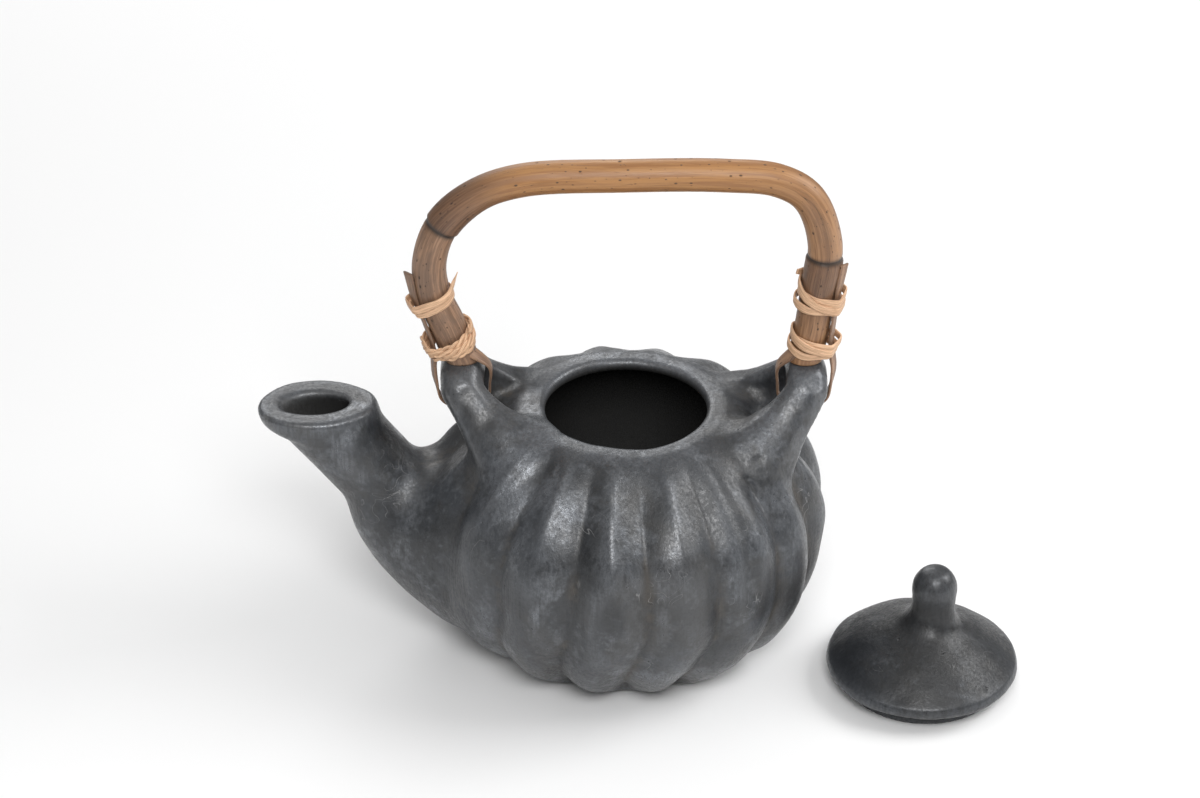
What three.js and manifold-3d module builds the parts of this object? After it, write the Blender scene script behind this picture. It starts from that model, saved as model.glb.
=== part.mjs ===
// A hand-built pottery kettle: a ribbed clay pot with a spout and two arched lugs, a loose lid that stands
// beside it, and a bent bamboo handle. Each end of the cane is cut to a saddle that stands on a lug, and a strip
// of its own wall, the tongue, goes under the lug and back up the cane, where two rattan ties lash it down.
// Units are millimetres and +Z is up. The pot stands on z = 0, its axis is the Z axis, and its spout points to -X.
import * as THREE from "three";
import { mergeVertices } from "three/addons/utils/BufferGeometryUtils.js";
import Module from "manifold-3d";

const wasm = await Module();
wasm.setup();

// Clay pot: heights, radii and wall
const POT_HEIGHT = 107;
const BELLY_RADIUS = 81.5;
const BELLY_LEVEL = 58;
const BASE_RADIUS = 46.5;
const MOUTH_RADIUS = 32.5;
const RIM_RADIUS = 40;
const MOUTH_CHAMFER = 1.5;
const CUT_THROUGH = 1;
const CLAY_WALL = 5.5;
const BASE_THICKNESS = 7;

// Clay pot: how full the wall is above and below the belly, and how steeply it leaves the base and the rim
const UPPER_FULLNESS = 27;
const LOWER_FULLNESS = 34;
const BASE_FLARE = 19;
const BASE_LIFT = 6;
const SHOULDER_REACH = 20;
const SHOULDER_DROP = 5.5;

// Ribs that run from the base to the shoulder
const RIB_COUNT = 16;
const RIB_DEPTH = 5;
const RIB_TURN = THREE.MathUtils.degToRad(2);
const RIB_VALLEY_SOFTNESS = 0.16;
const RIB_START_RADIUS = 42;
const RIB_FULL_RADIUS = 66;
const RIB_FOOT_HEIGHT = 10;

// Spout: its lip is cut flat at its own level
const SPOUT_LIP_X = -124.5;
const SPOUT_LIP_LEVEL = 107.5;
const SPOUT_LIP_LENGTH = 46;
const SPOUT_LIP_WIDTH = 33;
const SPOUT_LIP_WALL = 8.5;
const SPOUT_NECK_X = -102;
const SPOUT_NECK_LEVEL = 79;
const SPOUT_NECK_DIAMETER = 32.5;
const SPOUT_ROOT_X = -62;
const SPOUT_ROOT_LEVEL = 45;
const SPOUT_ROOT_DIAMETER = 74;
const SPOUT_ROOT_SINK = 30;
const SPOUT_ROOT_SHARE = 0.2;
const SPOUT_NECK_SHARE = 0.72;
const SPOUT_WALL = 6.5;
const SPOUT_ROOT_WALL = 14;
const SPOUT_LIP_TILT = THREE.MathUtils.degToRad(3);

// Lugs: arches over the handle's pivot, which lies below the top of each lug
const LEFT_LUG_X = -65;
const RIGHT_LUG_X = 71;
const LUG_TOP_RISE = 22.5;
const LUG_ARCH_RADIUS = 14;
const LUG_WIDTH = 17.5;
const LUG_THICKNESS = 12;
const LUG_LEAN = 11;
const LUG_ROOT_SPREAD = 20;
const LUG_ROOT_SINK = 9;
const LUG_ROOT_FLARE = 6;
const LUG_LEAN_BEND = 1.4;
const LUG_ROUND_ANGLE = THREE.MathUtils.degToRad(44);

// Lid
const LID_RADIUS = 38.8;
const LID_EDGE_LEVEL = 10;
const LID_EDGE_THICKNESS = 4;
const LID_EDGE_ROUNDING = 1;
const LID_CONE_REACH = 11;
const LID_CONE_RISE = 13;
const LID_NECK_LEVEL = 36;
const LID_NECK_FLARE = 4;
const LID_NECK_DROP = 10;
const LID_NECK_RADIUS = 8;
const KNOB_RADIUS = 9.2;
const KNOB_NECK_ROUNDING = 3;
const KNOB_LEVEL = 45;
const KNOB_OFFSET = 3.4;
const LID_FLANGE_CLEARANCE = 1.6;
const LID_WALL = 5.5;
const LID_STAND_CLEARANCE = 6;
const LID_STAND_ANGLE = THREE.MathUtils.degToRad(-18.2);

// Cane of the handle
const CANE_DIAMETER = 13;
const CANE_FOOT_DIAMETER = 14;
const HANDLE_RISE = 103;
const HANDLE_WIDTH = 154;
const HANDLE_CORNER = 27;
const HANDLE_LEG_BOW = 9;
const NODE_RING_HEIGHT = 0.9;
const NODE_PLACES = [0.3, 0.775];
const SADDLE_CLEARANCE = 0.35;

// Tongues and ties
const TONGUE_WIDTH = 6.5;
const TONGUE_THICKNESS = 1.2;
const TONGUE_CLEARANCE = 0.6;
const TONGUE_LENGTH = 46;
const TONGUE_SPLIT_LENGTH = 10;
const TIE_WIDTH = 2.7;
const TIE_THICKNESS = 1.1;
const TIE_PITCH = 3.4;
const TIE_CROSSING = 3.8;
const TIE_LAYER = 1.6;
const TIE_CLEARANCE = 0.45;
const TIE_CORNER_ROOM = 0.6;
const TIE_STUB_LENGTH = 6;
const LOWER_TIE_LEVEL = 11.8;
const UPPER_TIE_LEVEL = 29;
const LOWER_TIE_TURNS = 3;
const UPPER_TIE_TURNS = 2.25;

// Facet counts
const COLUMNS_PER_RIB = 6;
const WALL_STEPS = 8;
const LATHE_SEGMENTS = 36;
const TUBE_SIDES = 16;
const SPOUT_SIDES = 24;
const SPOUT_STEPS = 16;
const LUG_STEPS = 22;
const CANE_STEPS = 64;
const TONGUE_STEPS = 44;
const LID_CONE_STEPS = 10;
const KNOB_STEPS = 8;
const TIE_STEPS_PER_TURN = 24;
const TIE_SIDES = 6;

const CLAY = { color: 0x3b3f44, roughness: 0.48, metalness: 0.0 };
const DARK_CLAY = { color: 0x2e3236, roughness: 0.5, metalness: 0.0 };
const CANE = { color: 0xa3743f, roughness: 0.55, metalness: 0.0 };
const RATTAN = { color: 0xcfa87a, roughness: 0.7, metalness: 0.0 };

const smoothstep = THREE.MathUtils.smoothstep;
const lerp = THREE.MathUtils.lerp;

// Closes a stack of equal rings with a fan on each end, and turns the faces outward.
function closeRings(rings) {
  const sides = rings[0].length;
  const positions = rings.flat().flatMap((p) => [p.x, p.y, p.z]);
  const index = [];
  for (let row = 0; row + 1 < rings.length; row += 1) {
    for (let side = 0; side < sides; side += 1) {
      const next = (side + 1) % sides;
      const a = row * sides + side;
      const b = row * sides + next;
      index.push(a, b, b + sides, a, b + sides, a + sides);
    }
  }
  const addFan = (ring, first, flip) => {
    const centre = ring.reduce((sum, p) => sum.add(p), new THREE.Vector3()).divideScalar(sides);
    const hub = positions.length / 3;
    positions.push(centre.x, centre.y, centre.z);
    for (let side = 0; side < sides; side += 1) {
      const a = first + side;
      const b = first + ((side + 1) % sides);
      index.push(...(flip ? [hub, b, a] : [hub, a, b]));
    }
  };
  addFan(rings[0], 0, true);
  addFan(rings[rings.length - 1], (rings.length - 1) * sides, false);
  const geometry = new THREE.BufferGeometry();
  geometry.setAttribute("position", new THREE.Float32BufferAttribute(positions, 3));
  geometry.setIndex(volumeOf(positions, index) < 0 ? index.toReversed() : index);
  return geometry;
}

function volumeOf(positions, index) {
  const corner = (i) => new THREE.Vector3().fromArray(positions, 3 * index[i]);
  let six = 0;
  for (let i = 0; i < index.length; i += 3) {
    six += corner(i).dot(corner(i + 1).cross(corner(i + 2)));
  }
  return six / 6;
}

function toSolid(geometry) {
  const bare = geometry.clone();
  bare.deleteAttribute("normal");
  bare.deleteAttribute("uv");
  const merged = mergeVertices(bare);
  const vertProperties = new Float32Array(merged.attributes.position.array);
  const triVerts = new Uint32Array(merged.index.array);
  return new wasm.Manifold(new wasm.Mesh({ numProp: 3, vertProperties, triVerts }));
}

function toGeometry(solid) {
  const { vertProperties, triVerts } = solid.getMesh();
  const geometry = new THREE.BufferGeometry();
  geometry.setAttribute("position", new THREE.Float32BufferAttribute(vertProperties, 3));
  geometry.setIndex(Array.from(triVerts));
  geometry.computeVertexNormals();
  return geometry;
}

function makeMesh(name, geometry, finish) {
  const mesh = new THREE.Mesh(geometry, new THREE.MeshStandardMaterial(finish));
  mesh.name = name;
  return mesh;
}

// An oval ring about a centre: width along one direction, height along the other.
function ovalRing(centre, across, up, halfWidth, halfHeight, sides) {
  return Array.from({ length: sides }, (_, side) => {
    const angle = (2 * Math.PI * side) / sides;
    return centre
      .clone()
      .addScaledVector(across, halfWidth * Math.cos(angle))
      .addScaledVector(up, halfHeight * Math.sin(angle));
  });
}

// A half outline from the foot over the belly to the rim, as radius and height.
function makeOutline(foot, belly, rim) {
  const lower = new THREE.CubicBezierCurve(
    foot,
    foot.clone().add(new THREE.Vector2(BASE_FLARE, BASE_LIFT)),
    belly.clone().sub(new THREE.Vector2(0, LOWER_FULLNESS)),
    belly,
  );
  const upper = new THREE.CubicBezierCurve(
    belly,
    belly.clone().add(new THREE.Vector2(0, UPPER_FULLNESS)),
    rim.clone().add(new THREE.Vector2(SHOULDER_REACH, -SHOULDER_DROP)),
    rim,
  );
  return { lower, upper };
}

// The outside over the crests of the ribs, and the inside one clay wall below their valleys.
const outline = makeOutline(
  new THREE.Vector2(BASE_RADIUS, 0),
  new THREE.Vector2(BELLY_RADIUS, BELLY_LEVEL),
  new THREE.Vector2(RIM_RADIUS, POT_HEIGHT),
);
const inside = makeOutline(
  new THREE.Vector2(BASE_RADIUS - CLAY_WALL, BASE_THICKNESS),
  new THREE.Vector2(BELLY_RADIUS - RIB_DEPTH - CLAY_WALL, BELLY_LEVEL),
  new THREE.Vector2(RIM_RADIUS, POT_HEIGHT - CLAY_WALL),
);

// Height of the pot's shoulder at a radius.
function shoulderLevel(radius) {
  const points = outline.upper.getPoints(60);
  const after = points.findIndex((p) => p.x <= radius);
  const [a, b] = [points[after - 1], points[after]];
  return lerp(a.y, b.y, (a.x - radius) / (a.x - b.x));
}

// How far the rib pattern stands below its crest: 0 on a crest and 1 in a valley.
function ribDip(angle) {
  const wave = Math.sin((RIB_COUNT * (angle - RIB_TURN)) / 2);
  const lobe = Math.hypot(wave, RIB_VALLEY_SOFTNESS) / Math.hypot(1, RIB_VALLEY_SOFTNESS);
  return 1 - lobe;
}

function makeBody() {
  const columns = RIB_COUNT * COLUMNS_PER_RIB;
  const rows = [];
  for (const [curve, first] of [[outline.lower, 0], [outline.upper, 1]]) {
    for (let step = first; step <= WALL_STEPS; step += 1) {
      rows.push({ at: curve.getPoint(step / WALL_STEPS), slope: curve.getTangent(step / WALL_STEPS) });
    }
  }
  const rings = rows.map(({ at, slope }) => {
    const foot = smoothstep(at.y, 0, RIB_FOOT_HEIGHT);
    const shoulder = at.y > BELLY_LEVEL ? smoothstep(at.x, RIB_START_RADIUS, RIB_FULL_RADIUS) : 1;
    return Array.from({ length: columns }, (_, column) => {
      const angle = RIB_TURN + (2 * Math.PI * column) / columns;
      const dip = RIB_DEPTH * foot * shoulder * ribDip(angle);
      const radius = at.x - dip * slope.y;
      const level = at.y + dip * slope.x;
      return new THREE.Vector3(radius * Math.sin(angle), -radius * Math.cos(angle), level);
    });
  });
  return closeRings(rings);
}

function makeCavity() {
  const points = [new THREE.Vector2(0, BASE_THICKNESS)];
  points.push(...inside.lower.getPoints(WALL_STEPS));
  points.push(...inside.upper.getPoints(WALL_STEPS).slice(1));
  points.push(new THREE.Vector2(MOUTH_RADIUS, POT_HEIGHT - CLAY_WALL));
  points.push(new THREE.Vector2(MOUTH_RADIUS, POT_HEIGHT - MOUTH_CHAMFER));
  points.push(new THREE.Vector2(MOUTH_RADIUS + MOUTH_CHAMFER + CUT_THROUGH, POT_HEIGHT + CUT_THROUGH));
  points.push(new THREE.Vector2(0, POT_HEIGHT + CUT_THROUGH));
  return new THREE.LatheGeometry(points, LATHE_SEGMENTS).rotateX(Math.PI / 2);
}

// The spout's middle line lies in the XZ plane: out of the belly, up the neck and level at the lip.
const spoutLine = new THREE.CatmullRomCurve3([
  new THREE.Vector3(SPOUT_ROOT_X + SPOUT_ROOT_SINK, 0, SPOUT_ROOT_LEVEL - SPOUT_ROOT_SINK / 5),
  new THREE.Vector3(SPOUT_ROOT_X, 0, SPOUT_ROOT_LEVEL),
  new THREE.Vector3(lerp(SPOUT_ROOT_X, SPOUT_NECK_X, 0.68), 0, lerp(SPOUT_ROOT_LEVEL, SPOUT_NECK_LEVEL, 0.45)),
  new THREE.Vector3(SPOUT_NECK_X, 0, SPOUT_NECK_LEVEL),
  new THREE.Vector3(SPOUT_LIP_X, 0, SPOUT_LIP_LEVEL),
]);

// Rings along the spout stand square to its line up to the neck, then turn level with the cut lip.
function spoutRings(sides, sizeAt) {
  return Array.from({ length: SPOUT_STEPS + 1 }, (_, step) => {
    const t = step / SPOUT_STEPS;
    const centre = spoutLine.getPoint(t);
    const tangent = spoutLine.getTangent(t);
    const level = smoothstep(t, SPOUT_NECK_SHARE, 1) ** 1.3;
    const up = new THREE.Vector3(tangent.z, 0, -tangent.x);
    const flat = new THREE.Vector3(Math.cos(SPOUT_LIP_TILT), 0, Math.sin(SPOUT_LIP_TILT));
    const across = up.lerp(flat, level).normalize();
    const { long, wide } = sizeAt(t);
    return ovalRing(centre, across, new THREE.Vector3(0, 1, 0), long / 2, wide / 2, sides);
  });
}

// The spout narrows from its root to its neck, then flares to an oval lip. Its wall thickens there.
function spoutSize(t, rootDiameter, neckDiameter, lipWall) {
  const root = 1 - smoothstep(t, SPOUT_ROOT_SHARE, SPOUT_NECK_SHARE);
  const lip = smoothstep(t, SPOUT_NECK_SHARE, 1) ** 1.8;
  const tube = lerp(neckDiameter, rootDiameter, root);
  return {
    long: lerp(tube, SPOUT_LIP_LENGTH - 2 * lipWall, lip),
    wide: lerp(tube, SPOUT_LIP_WIDTH - 2 * lipWall, lip),
  };
}

function makeSpout() {
  return closeRings(spoutRings(SPOUT_SIDES, (t) => spoutSize(t, SPOUT_ROOT_DIAMETER, SPOUT_NECK_DIAMETER, 0)));
}

function makeSpoutBore() {
  const neckBore = SPOUT_NECK_DIAMETER - 2 * SPOUT_WALL;
  const rootBore = SPOUT_ROOT_DIAMETER - 2 * SPOUT_ROOT_WALL;
  const boreSize = (t) => spoutSize(t, rootBore, neckBore, SPOUT_LIP_WALL);
  const rings = spoutRings(TUBE_SIDES, boreSize);
  const last = rings[rings.length - 1];
  rings.push(last.map((p) => p.clone().add(new THREE.Vector3(0, 0, CUT_THROUGH))));
  return closeRings(rings);
}

// The handle turns about a line through both lugs, at the centre of their arches.
const PIVOT_LEVEL = POT_HEIGHT + LUG_TOP_RISE - LUG_THICKNESS / 2 - LUG_ARCH_RADIUS;

// A lug is an arch: round over the pivot, then legs that lean in and spread out, down into the shoulder.
function makeLug(lugX, grow) {
  const inward = -Math.sign(lugX);
  const round = LUG_ARCH_RADIUS * LUG_ROUND_ANGLE;
  const roundEnd = LUG_ARCH_RADIUS * Math.sin(LUG_ROUND_ANGLE);
  const roundLevel = PIVOT_LEVEL + LUG_ARCH_RADIUS * Math.cos(LUG_ROUND_ANGLE);
  const rootLevel = shoulderLevel(Math.hypot(Math.abs(lugX) - LUG_LEAN, LUG_ROOT_SPREAD));
  const legLength = Math.hypot(LUG_ROOT_SPREAD - roundEnd, roundLevel - rootLevel);
  const place = (along) => {
    const past = Math.max(0, Math.abs(along) - round) / legLength;
    if (past === 0) {
      const angle = along / LUG_ARCH_RADIUS;
      const y = LUG_ARCH_RADIUS * Math.sin(angle);
      return new THREE.Vector3(lugX, y, PIVOT_LEVEL + LUG_ARCH_RADIUS * Math.cos(angle));
    }
    const x = lugX + inward * LUG_LEAN * past ** LUG_LEAN_BEND;
    const y = Math.sign(along) * lerp(roundEnd, LUG_ROOT_SPREAD, past);
    return new THREE.Vector3(x, y, lerp(roundLevel, rootLevel, past));
  };
  const reach = round + legLength + LUG_ROOT_SINK;
  const rings = Array.from({ length: LUG_STEPS + 1 }, (_, step) => {
    const along = lerp(-reach, reach, step / LUG_STEPS);
    const tangent = place(along + 0.2).sub(place(along - 0.2)).normalize();
    const across = new THREE.Vector3(1, 0, 0).addScaledVector(tangent, -tangent.x).normalize();
    const up = tangent.clone().cross(across);
    const flare = LUG_ROOT_FLARE * smoothstep(Math.abs(along), round, reach) ** 1.5;
    const halfWidth = LUG_WIDTH / 2 + flare + grow;
    const halfThickness = LUG_THICKNESS / 2 + flare + grow;
    return ovalRing(place(along), across, up, halfWidth, halfThickness, TUBE_SIDES);
  });
  return closeRings(rings);
}

function makePot() {
  const outside = toSolid(makeBody())
    .add(toSolid(makeSpout()))
    .add(toSolid(makeLug(LEFT_LUG_X, 0)))
    .add(toSolid(makeLug(RIGHT_LUG_X, 0)));
  const hollow = toSolid(makeCavity()).add(toSolid(makeSpoutBore()));
  return makeMesh("pot", toGeometry(outside.subtract(hollow)), CLAY);
}

// The lid stands on its flange, beside the pot.
function makeLid() {
  const flangeRadius = MOUTH_RADIUS - LID_FLANGE_CLEARANCE;
  const underside = LID_EDGE_LEVEL - LID_EDGE_THICKNESS / 2;
  const hollowTop = LID_NECK_LEVEL - 2 * LID_WALL;
  const cone = new THREE.CubicBezierCurve(
    new THREE.Vector2(LID_RADIUS - LID_EDGE_ROUNDING, LID_EDGE_LEVEL + LID_EDGE_THICKNESS / 2),
    new THREE.Vector2(LID_RADIUS - LID_CONE_REACH, LID_EDGE_LEVEL + LID_CONE_RISE),
    new THREE.Vector2(LID_NECK_RADIUS + LID_NECK_FLARE, LID_NECK_LEVEL - LID_NECK_DROP),
    new THREE.Vector2(LID_NECK_RADIUS, LID_NECK_LEVEL),
  );
  const neckAngle = Math.asin(Math.min(1, (KNOB_LEVEL - LID_NECK_LEVEL) / (KNOB_RADIUS + KNOB_NECK_ROUNDING)));
  const knob = Array.from({ length: KNOB_STEPS }, (_, step) => {
    const angle = lerp(-neckAngle, Math.PI / 2, (step + 1) / KNOB_STEPS);
    return new THREE.Vector2(KNOB_RADIUS * Math.cos(angle), KNOB_LEVEL + KNOB_RADIUS * Math.sin(angle));
  });
  knob[knob.length - 1].x = 0;
  const points = [
    new THREE.Vector2(0, hollowTop),
    new THREE.Vector2(flangeRadius / 3, hollowTop - 2),
    new THREE.Vector2(flangeRadius - LID_WALL, underside + LID_EDGE_ROUNDING),
    new THREE.Vector2(flangeRadius - LID_WALL, LID_EDGE_ROUNDING),
    new THREE.Vector2(flangeRadius - LID_WALL + LID_EDGE_ROUNDING, 0),
    new THREE.Vector2(flangeRadius - LID_EDGE_ROUNDING, 0),
    new THREE.Vector2(flangeRadius, LID_EDGE_ROUNDING),
    new THREE.Vector2(flangeRadius, underside),
    new THREE.Vector2(LID_RADIUS - 2 * LID_EDGE_ROUNDING, underside),
    new THREE.Vector2(LID_RADIUS, LID_EDGE_LEVEL),
    ...cone.getPoints(LID_CONE_STEPS),
    ...knob,
  ];
  const geometry = new THREE.LatheGeometry(points, LATHE_SEGMENTS).rotateX(Math.PI / 2);
  const position = geometry.attributes.position;
  for (let i = 0; i < position.count; i += 1) {
    const lift = smoothstep(position.getZ(i), hollowTop, KNOB_LEVEL);
    position.setX(i, position.getX(i) + KNOB_OFFSET * lift);
  }
  const mesh = makeMesh("lid", toGeometry(toSolid(geometry)), DARK_CLAY);
  const reach = BELLY_RADIUS + LID_RADIUS + LID_STAND_CLEARANCE;
  mesh.position.set(reach * Math.cos(LID_STAND_ANGLE), reach * Math.sin(LID_STAND_ANGLE), 0);
  return mesh;
}

// The cane's middle line: a leg up from each lug, two bent corners and the level grip.
const SADDLE_LEVEL = POT_HEIGHT + LUG_TOP_RISE;
const GRIP_LEVEL = POT_HEIGHT + HANDLE_RISE;
const HALF_WIDTH = HANDLE_WIDTH / 2;
const footDepth = LUG_THICKNESS / 2;

const caneLine = new THREE.CatmullRomCurve3([
  new THREE.Vector3(LEFT_LUG_X, 0, SADDLE_LEVEL - footDepth),
  new THREE.Vector3(LEFT_LUG_X - 0.62 * HANDLE_LEG_BOW, 0, lerp(SADDLE_LEVEL, GRIP_LEVEL, 0.16)),
  new THREE.Vector3(-HALF_WIDTH + 1, 0, lerp(SADDLE_LEVEL, GRIP_LEVEL, 0.36)),
  new THREE.Vector3(-HALF_WIDTH, 0, GRIP_LEVEL - 1.4 * HANDLE_CORNER),
  new THREE.Vector3(-HALF_WIDTH + 0.2 * HANDLE_CORNER, 0, GRIP_LEVEL - 0.8 * HANDLE_CORNER),
  new THREE.Vector3(-HALF_WIDTH + 0.7 * HANDLE_CORNER, 0, GRIP_LEVEL - 0.32 * HANDLE_CORNER),
  new THREE.Vector3(-HALF_WIDTH + 1.35 * HANDLE_CORNER, 0, GRIP_LEVEL - 0.08 * HANDLE_CORNER),
  new THREE.Vector3(0, 0, GRIP_LEVEL),
  new THREE.Vector3(HALF_WIDTH - 1.45 * HANDLE_CORNER, 0, GRIP_LEVEL),
  new THREE.Vector3(HALF_WIDTH - 0.7 * HANDLE_CORNER, 0, GRIP_LEVEL - 0.08 * HANDLE_CORNER),
  new THREE.Vector3(HALF_WIDTH - 0.26 * HANDLE_CORNER, 0, GRIP_LEVEL - 0.36 * HANDLE_CORNER),
  new THREE.Vector3(HALF_WIDTH, 0, GRIP_LEVEL - 1.1 * HANDLE_CORNER),
  new THREE.Vector3(HALF_WIDTH - 2, 0, lerp(SADDLE_LEVEL, GRIP_LEVEL, 0.36)),
  new THREE.Vector3(RIGHT_LUG_X + 0.25 * HANDLE_LEG_BOW, 0, lerp(SADDLE_LEVEL, GRIP_LEVEL, 0.14)),
  new THREE.Vector3(RIGHT_LUG_X, 0, SADDLE_LEVEL - footDepth),
], false, "centripetal");
caneLine.arcLengthDivisions = 400;
const caneLength = caneLine.getLength();

// A point of one leg at a distance up from its foot, with the direction out from the bow there.
function legFrame(lugX, distance) {
  const along = lugX < 0 ? distance / caneLength : 1 - distance / caneLength;
  const centre = caneLine.getPointAt(along);
  const up = caneLine.getTangentAt(along).multiplyScalar(lugX < 0 ? 1 : -1);
  const out = new THREE.Vector3(up.z, 0, -up.x).multiplyScalar(Math.sign(lugX));
  return { centre, out };
}

// The cane thickens to its feet and stands up in a ring at each node.
function caneRadius(t) {
  const ring = NODE_PLACES.reduce((sum, node) => sum + Math.exp(-(((t - node) * caneLength) ** 2) / 4), 0);
  const foot = smoothstep(Math.abs(t - 0.5), 0.2, 0.4);
  return lerp(CANE_DIAMETER, CANE_FOOT_DIAMETER, foot) / 2 + NODE_RING_HEIGHT * ring;
}

function makeCane() {
  const acrossPot = new THREE.Vector3(0, 1, 0);
  const rings = Array.from({ length: CANE_STEPS + 1 }, (_, step) => {
    const t = step / CANE_STEPS;
    const out = caneLine.getTangentAt(t).cross(acrossPot).normalize();
    return ovalRing(caneLine.getPointAt(t), out, acrossPot, caneRadius(t), caneRadius(t), TUBE_SIDES);
  });
  return closeRings(rings);
}

// A tongue: from inside the cane's inner wall, under the lug and up the outside to its cut end.
function tongueLine(lugX) {
  const outward = Math.sign(lugX);
  const sideReach = LUG_WIDTH / 2 + TONGUE_CLEARANCE + TONGUE_THICKNESS / 2;
  const underside = PIVOT_LEVEL + LUG_ARCH_RADIUS - LUG_THICKNESS / 2;
  const cornerDip = underside - PIVOT_LEVEL - Math.sqrt((underside - PIVOT_LEVEL) ** 2 - (TONGUE_WIDTH / 2) ** 2);
  const bottom = underside - cornerDip - TONGUE_CLEARANCE - TONGUE_THICKNESS / 2;
  const middle = underside + LUG_THICKNESS / 2;
  const beside = (side, level) => new THREE.Vector3(lugX + side * outward * sideReach, 0, level);
  const strip = (distance, offset) => {
    const { centre, out } = legFrame(lugX, distance);
    return centre.addScaledVector(out, offset);
  };
  const slack = CANE_FOOT_DIAMETER / 2 + TONGUE_CLEARANCE + TONGUE_THICKNESS / 2;
  return new THREE.CatmullRomCurve3([
    strip(footDepth + TONGUE_SPLIT_LENGTH, -CANE_FOOT_DIAMETER / 2 + 1.5 * TONGUE_THICKNESS),
    strip(footDepth + TONGUE_SPLIT_LENGTH / 4, -CANE_FOOT_DIAMETER / 2 + 0.7 * TONGUE_THICKNESS),
    beside(-1, middle + 2),
    beside(-1, middle - 3),
    new THREE.Vector3(lugX - 0.55 * outward * sideReach, 0, bottom + 0.8),
    new THREE.Vector3(lugX, 0, bottom),
    new THREE.Vector3(lugX + 0.55 * outward * sideReach, 0, bottom + 0.8),
    beside(1, middle - 3),
    beside(1, middle + 2),
    strip(footDepth + 8, slack + 0.5),
    strip(footDepth + 18, slack),
    strip(footDepth + 30, slack),
    strip(TONGUE_LENGTH, slack + 0.6),
  ], false, "centripetal");
}

function makeTongue(lugX) {
  const line = tongueLine(lugX);
  const half = TONGUE_WIDTH / 2;
  const acrossPot = new THREE.Vector3(0, 1, 0);
  const rings = Array.from({ length: TONGUE_STEPS + 1 }, (_, step) => {
    const t = step / TONGUE_STEPS;
    const out = line.getTangentAt(t).cross(acrossPot).normalize();
    const at = line.getPointAt(t);
    return [[-1, -1], [1, -1], [1, 1], [-1, 1]].map(([a, b]) => at
      .clone()
      .addScaledVector(acrossPot, a * half)
      .addScaledVector(out, (b * TONGUE_THICKNESS) / 2));
  });
  return closeRings(rings);
}

function makeHandle() {
  const saddles = [LEFT_LUG_X, RIGHT_LUG_X].map((x) => toSolid(makeLug(x, SADDLE_CLEARANCE)));
  const cane = saddles.reduce((left, saddle) => left.subtract(saddle), toSolid(makeCane()));
  const whole = cane.add(toSolid(makeTongue(LEFT_LUG_X))).add(toSolid(makeTongue(RIGHT_LUG_X)));
  return makeMesh("cane_handle", toGeometry(whole), CANE);
}

// A tie winds round a leg and its tongue. Every other turn runs in a second layer and slopes the other way,
// so the turns cross, and its last end stands off the leg as a cut stub.
function tiePath(lugX, level, turns) {
  const slack = CANE_FOOT_DIAMETER / 2 + TONGUE_CLEARANCE + TONGUE_THICKNESS;
  const halfAcross = (slack + CANE_FOOT_DIAMETER / 2) / 2 + TIE_CLEARANCE + TIE_THICKNESS / 2 + TIE_CORNER_ROOM;
  const halfDeep = CANE_FOOT_DIAMETER / 2 + TIE_CLEARANCE + TIE_THICKNESS / 2 + TIE_CORNER_ROOM / 2;
  const shift = (slack - CANE_FOOT_DIAMETER / 2) / 2 + TIE_CORNER_ROOM;
  const first = -0.5;
  const count = Math.round(turns * TIE_STEPS_PER_TURN);
  const stations = [];
  for (let step = 0; step <= count; step += 1) {
    const turn = first + step / TIE_STEPS_PER_TURN;
    const layer = Math.tanh(6 * Math.cos(Math.PI * turn));
    const angle = 2 * Math.PI * turn;
    const height = TIE_PITCH * (turn - first - turns / 2) + (TIE_CROSSING / 2) * layer * Math.sin(angle);
    const lift = (TIE_LAYER * (1 - layer)) / 2;
    const { centre, out } = legFrame(lugX, footDepth + level + height);
    const at = centre
      .clone()
      .addScaledVector(out, shift + (halfAcross + lift) * Math.sin(angle))
      .addScaledVector(new THREE.Vector3(0, -1, 0), (halfDeep + lift) * Math.cos(angle));
    stations.push({ at, middle: centre.clone().addScaledVector(out, shift) });
  }
  const [before, last] = stations.slice(-2);
  const ahead = last.at.clone().sub(before.at).normalize();
  for (const share of [0.5, 1]) {
    const at = last.at.clone().addScaledVector(ahead, share * TIE_STUB_LENGTH);
    stations.push({ at, middle: last.middle });
  }
  return stations;
}

function makeTie(name, lugX, level, turns) {
  const stations = tiePath(lugX, level, turns);
  const rings = stations.map(({ at, middle }, i) => {
    const before = stations[Math.max(0, i - 1)].at;
    const after = stations[Math.min(stations.length - 1, i + 1)].at;
    const tangent = after.clone().sub(before).normalize();
    const away = at.clone().sub(middle);
    away.addScaledVector(tangent, -away.dot(tangent)).normalize();
    const wide = tangent.clone().cross(away);
    return ovalRing(at, wide, away, TIE_WIDTH / 2, TIE_THICKNESS / 2, TIE_SIDES);
  });
  console.log(`${name}: least gap between turns ${leastGap(rings).toFixed(2)} mm`);
  return makeMesh(name, closeRings(rings), RATTAN);
}

// The least distance between points of rings that are at least half a turn apart along the winding.
function leastGap(rings) {
  let least = Infinity;
  for (let i = 0; i < rings.length; i += 1) {
    for (let j = i + TIE_STEPS_PER_TURN / 2; j < rings.length; j += 1) {
      for (const p of rings[i]) {
        for (const q of rings[j]) {
          least = Math.min(least, p.distanceTo(q));
        }
      }
    }
  }
  return least;
}

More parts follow.
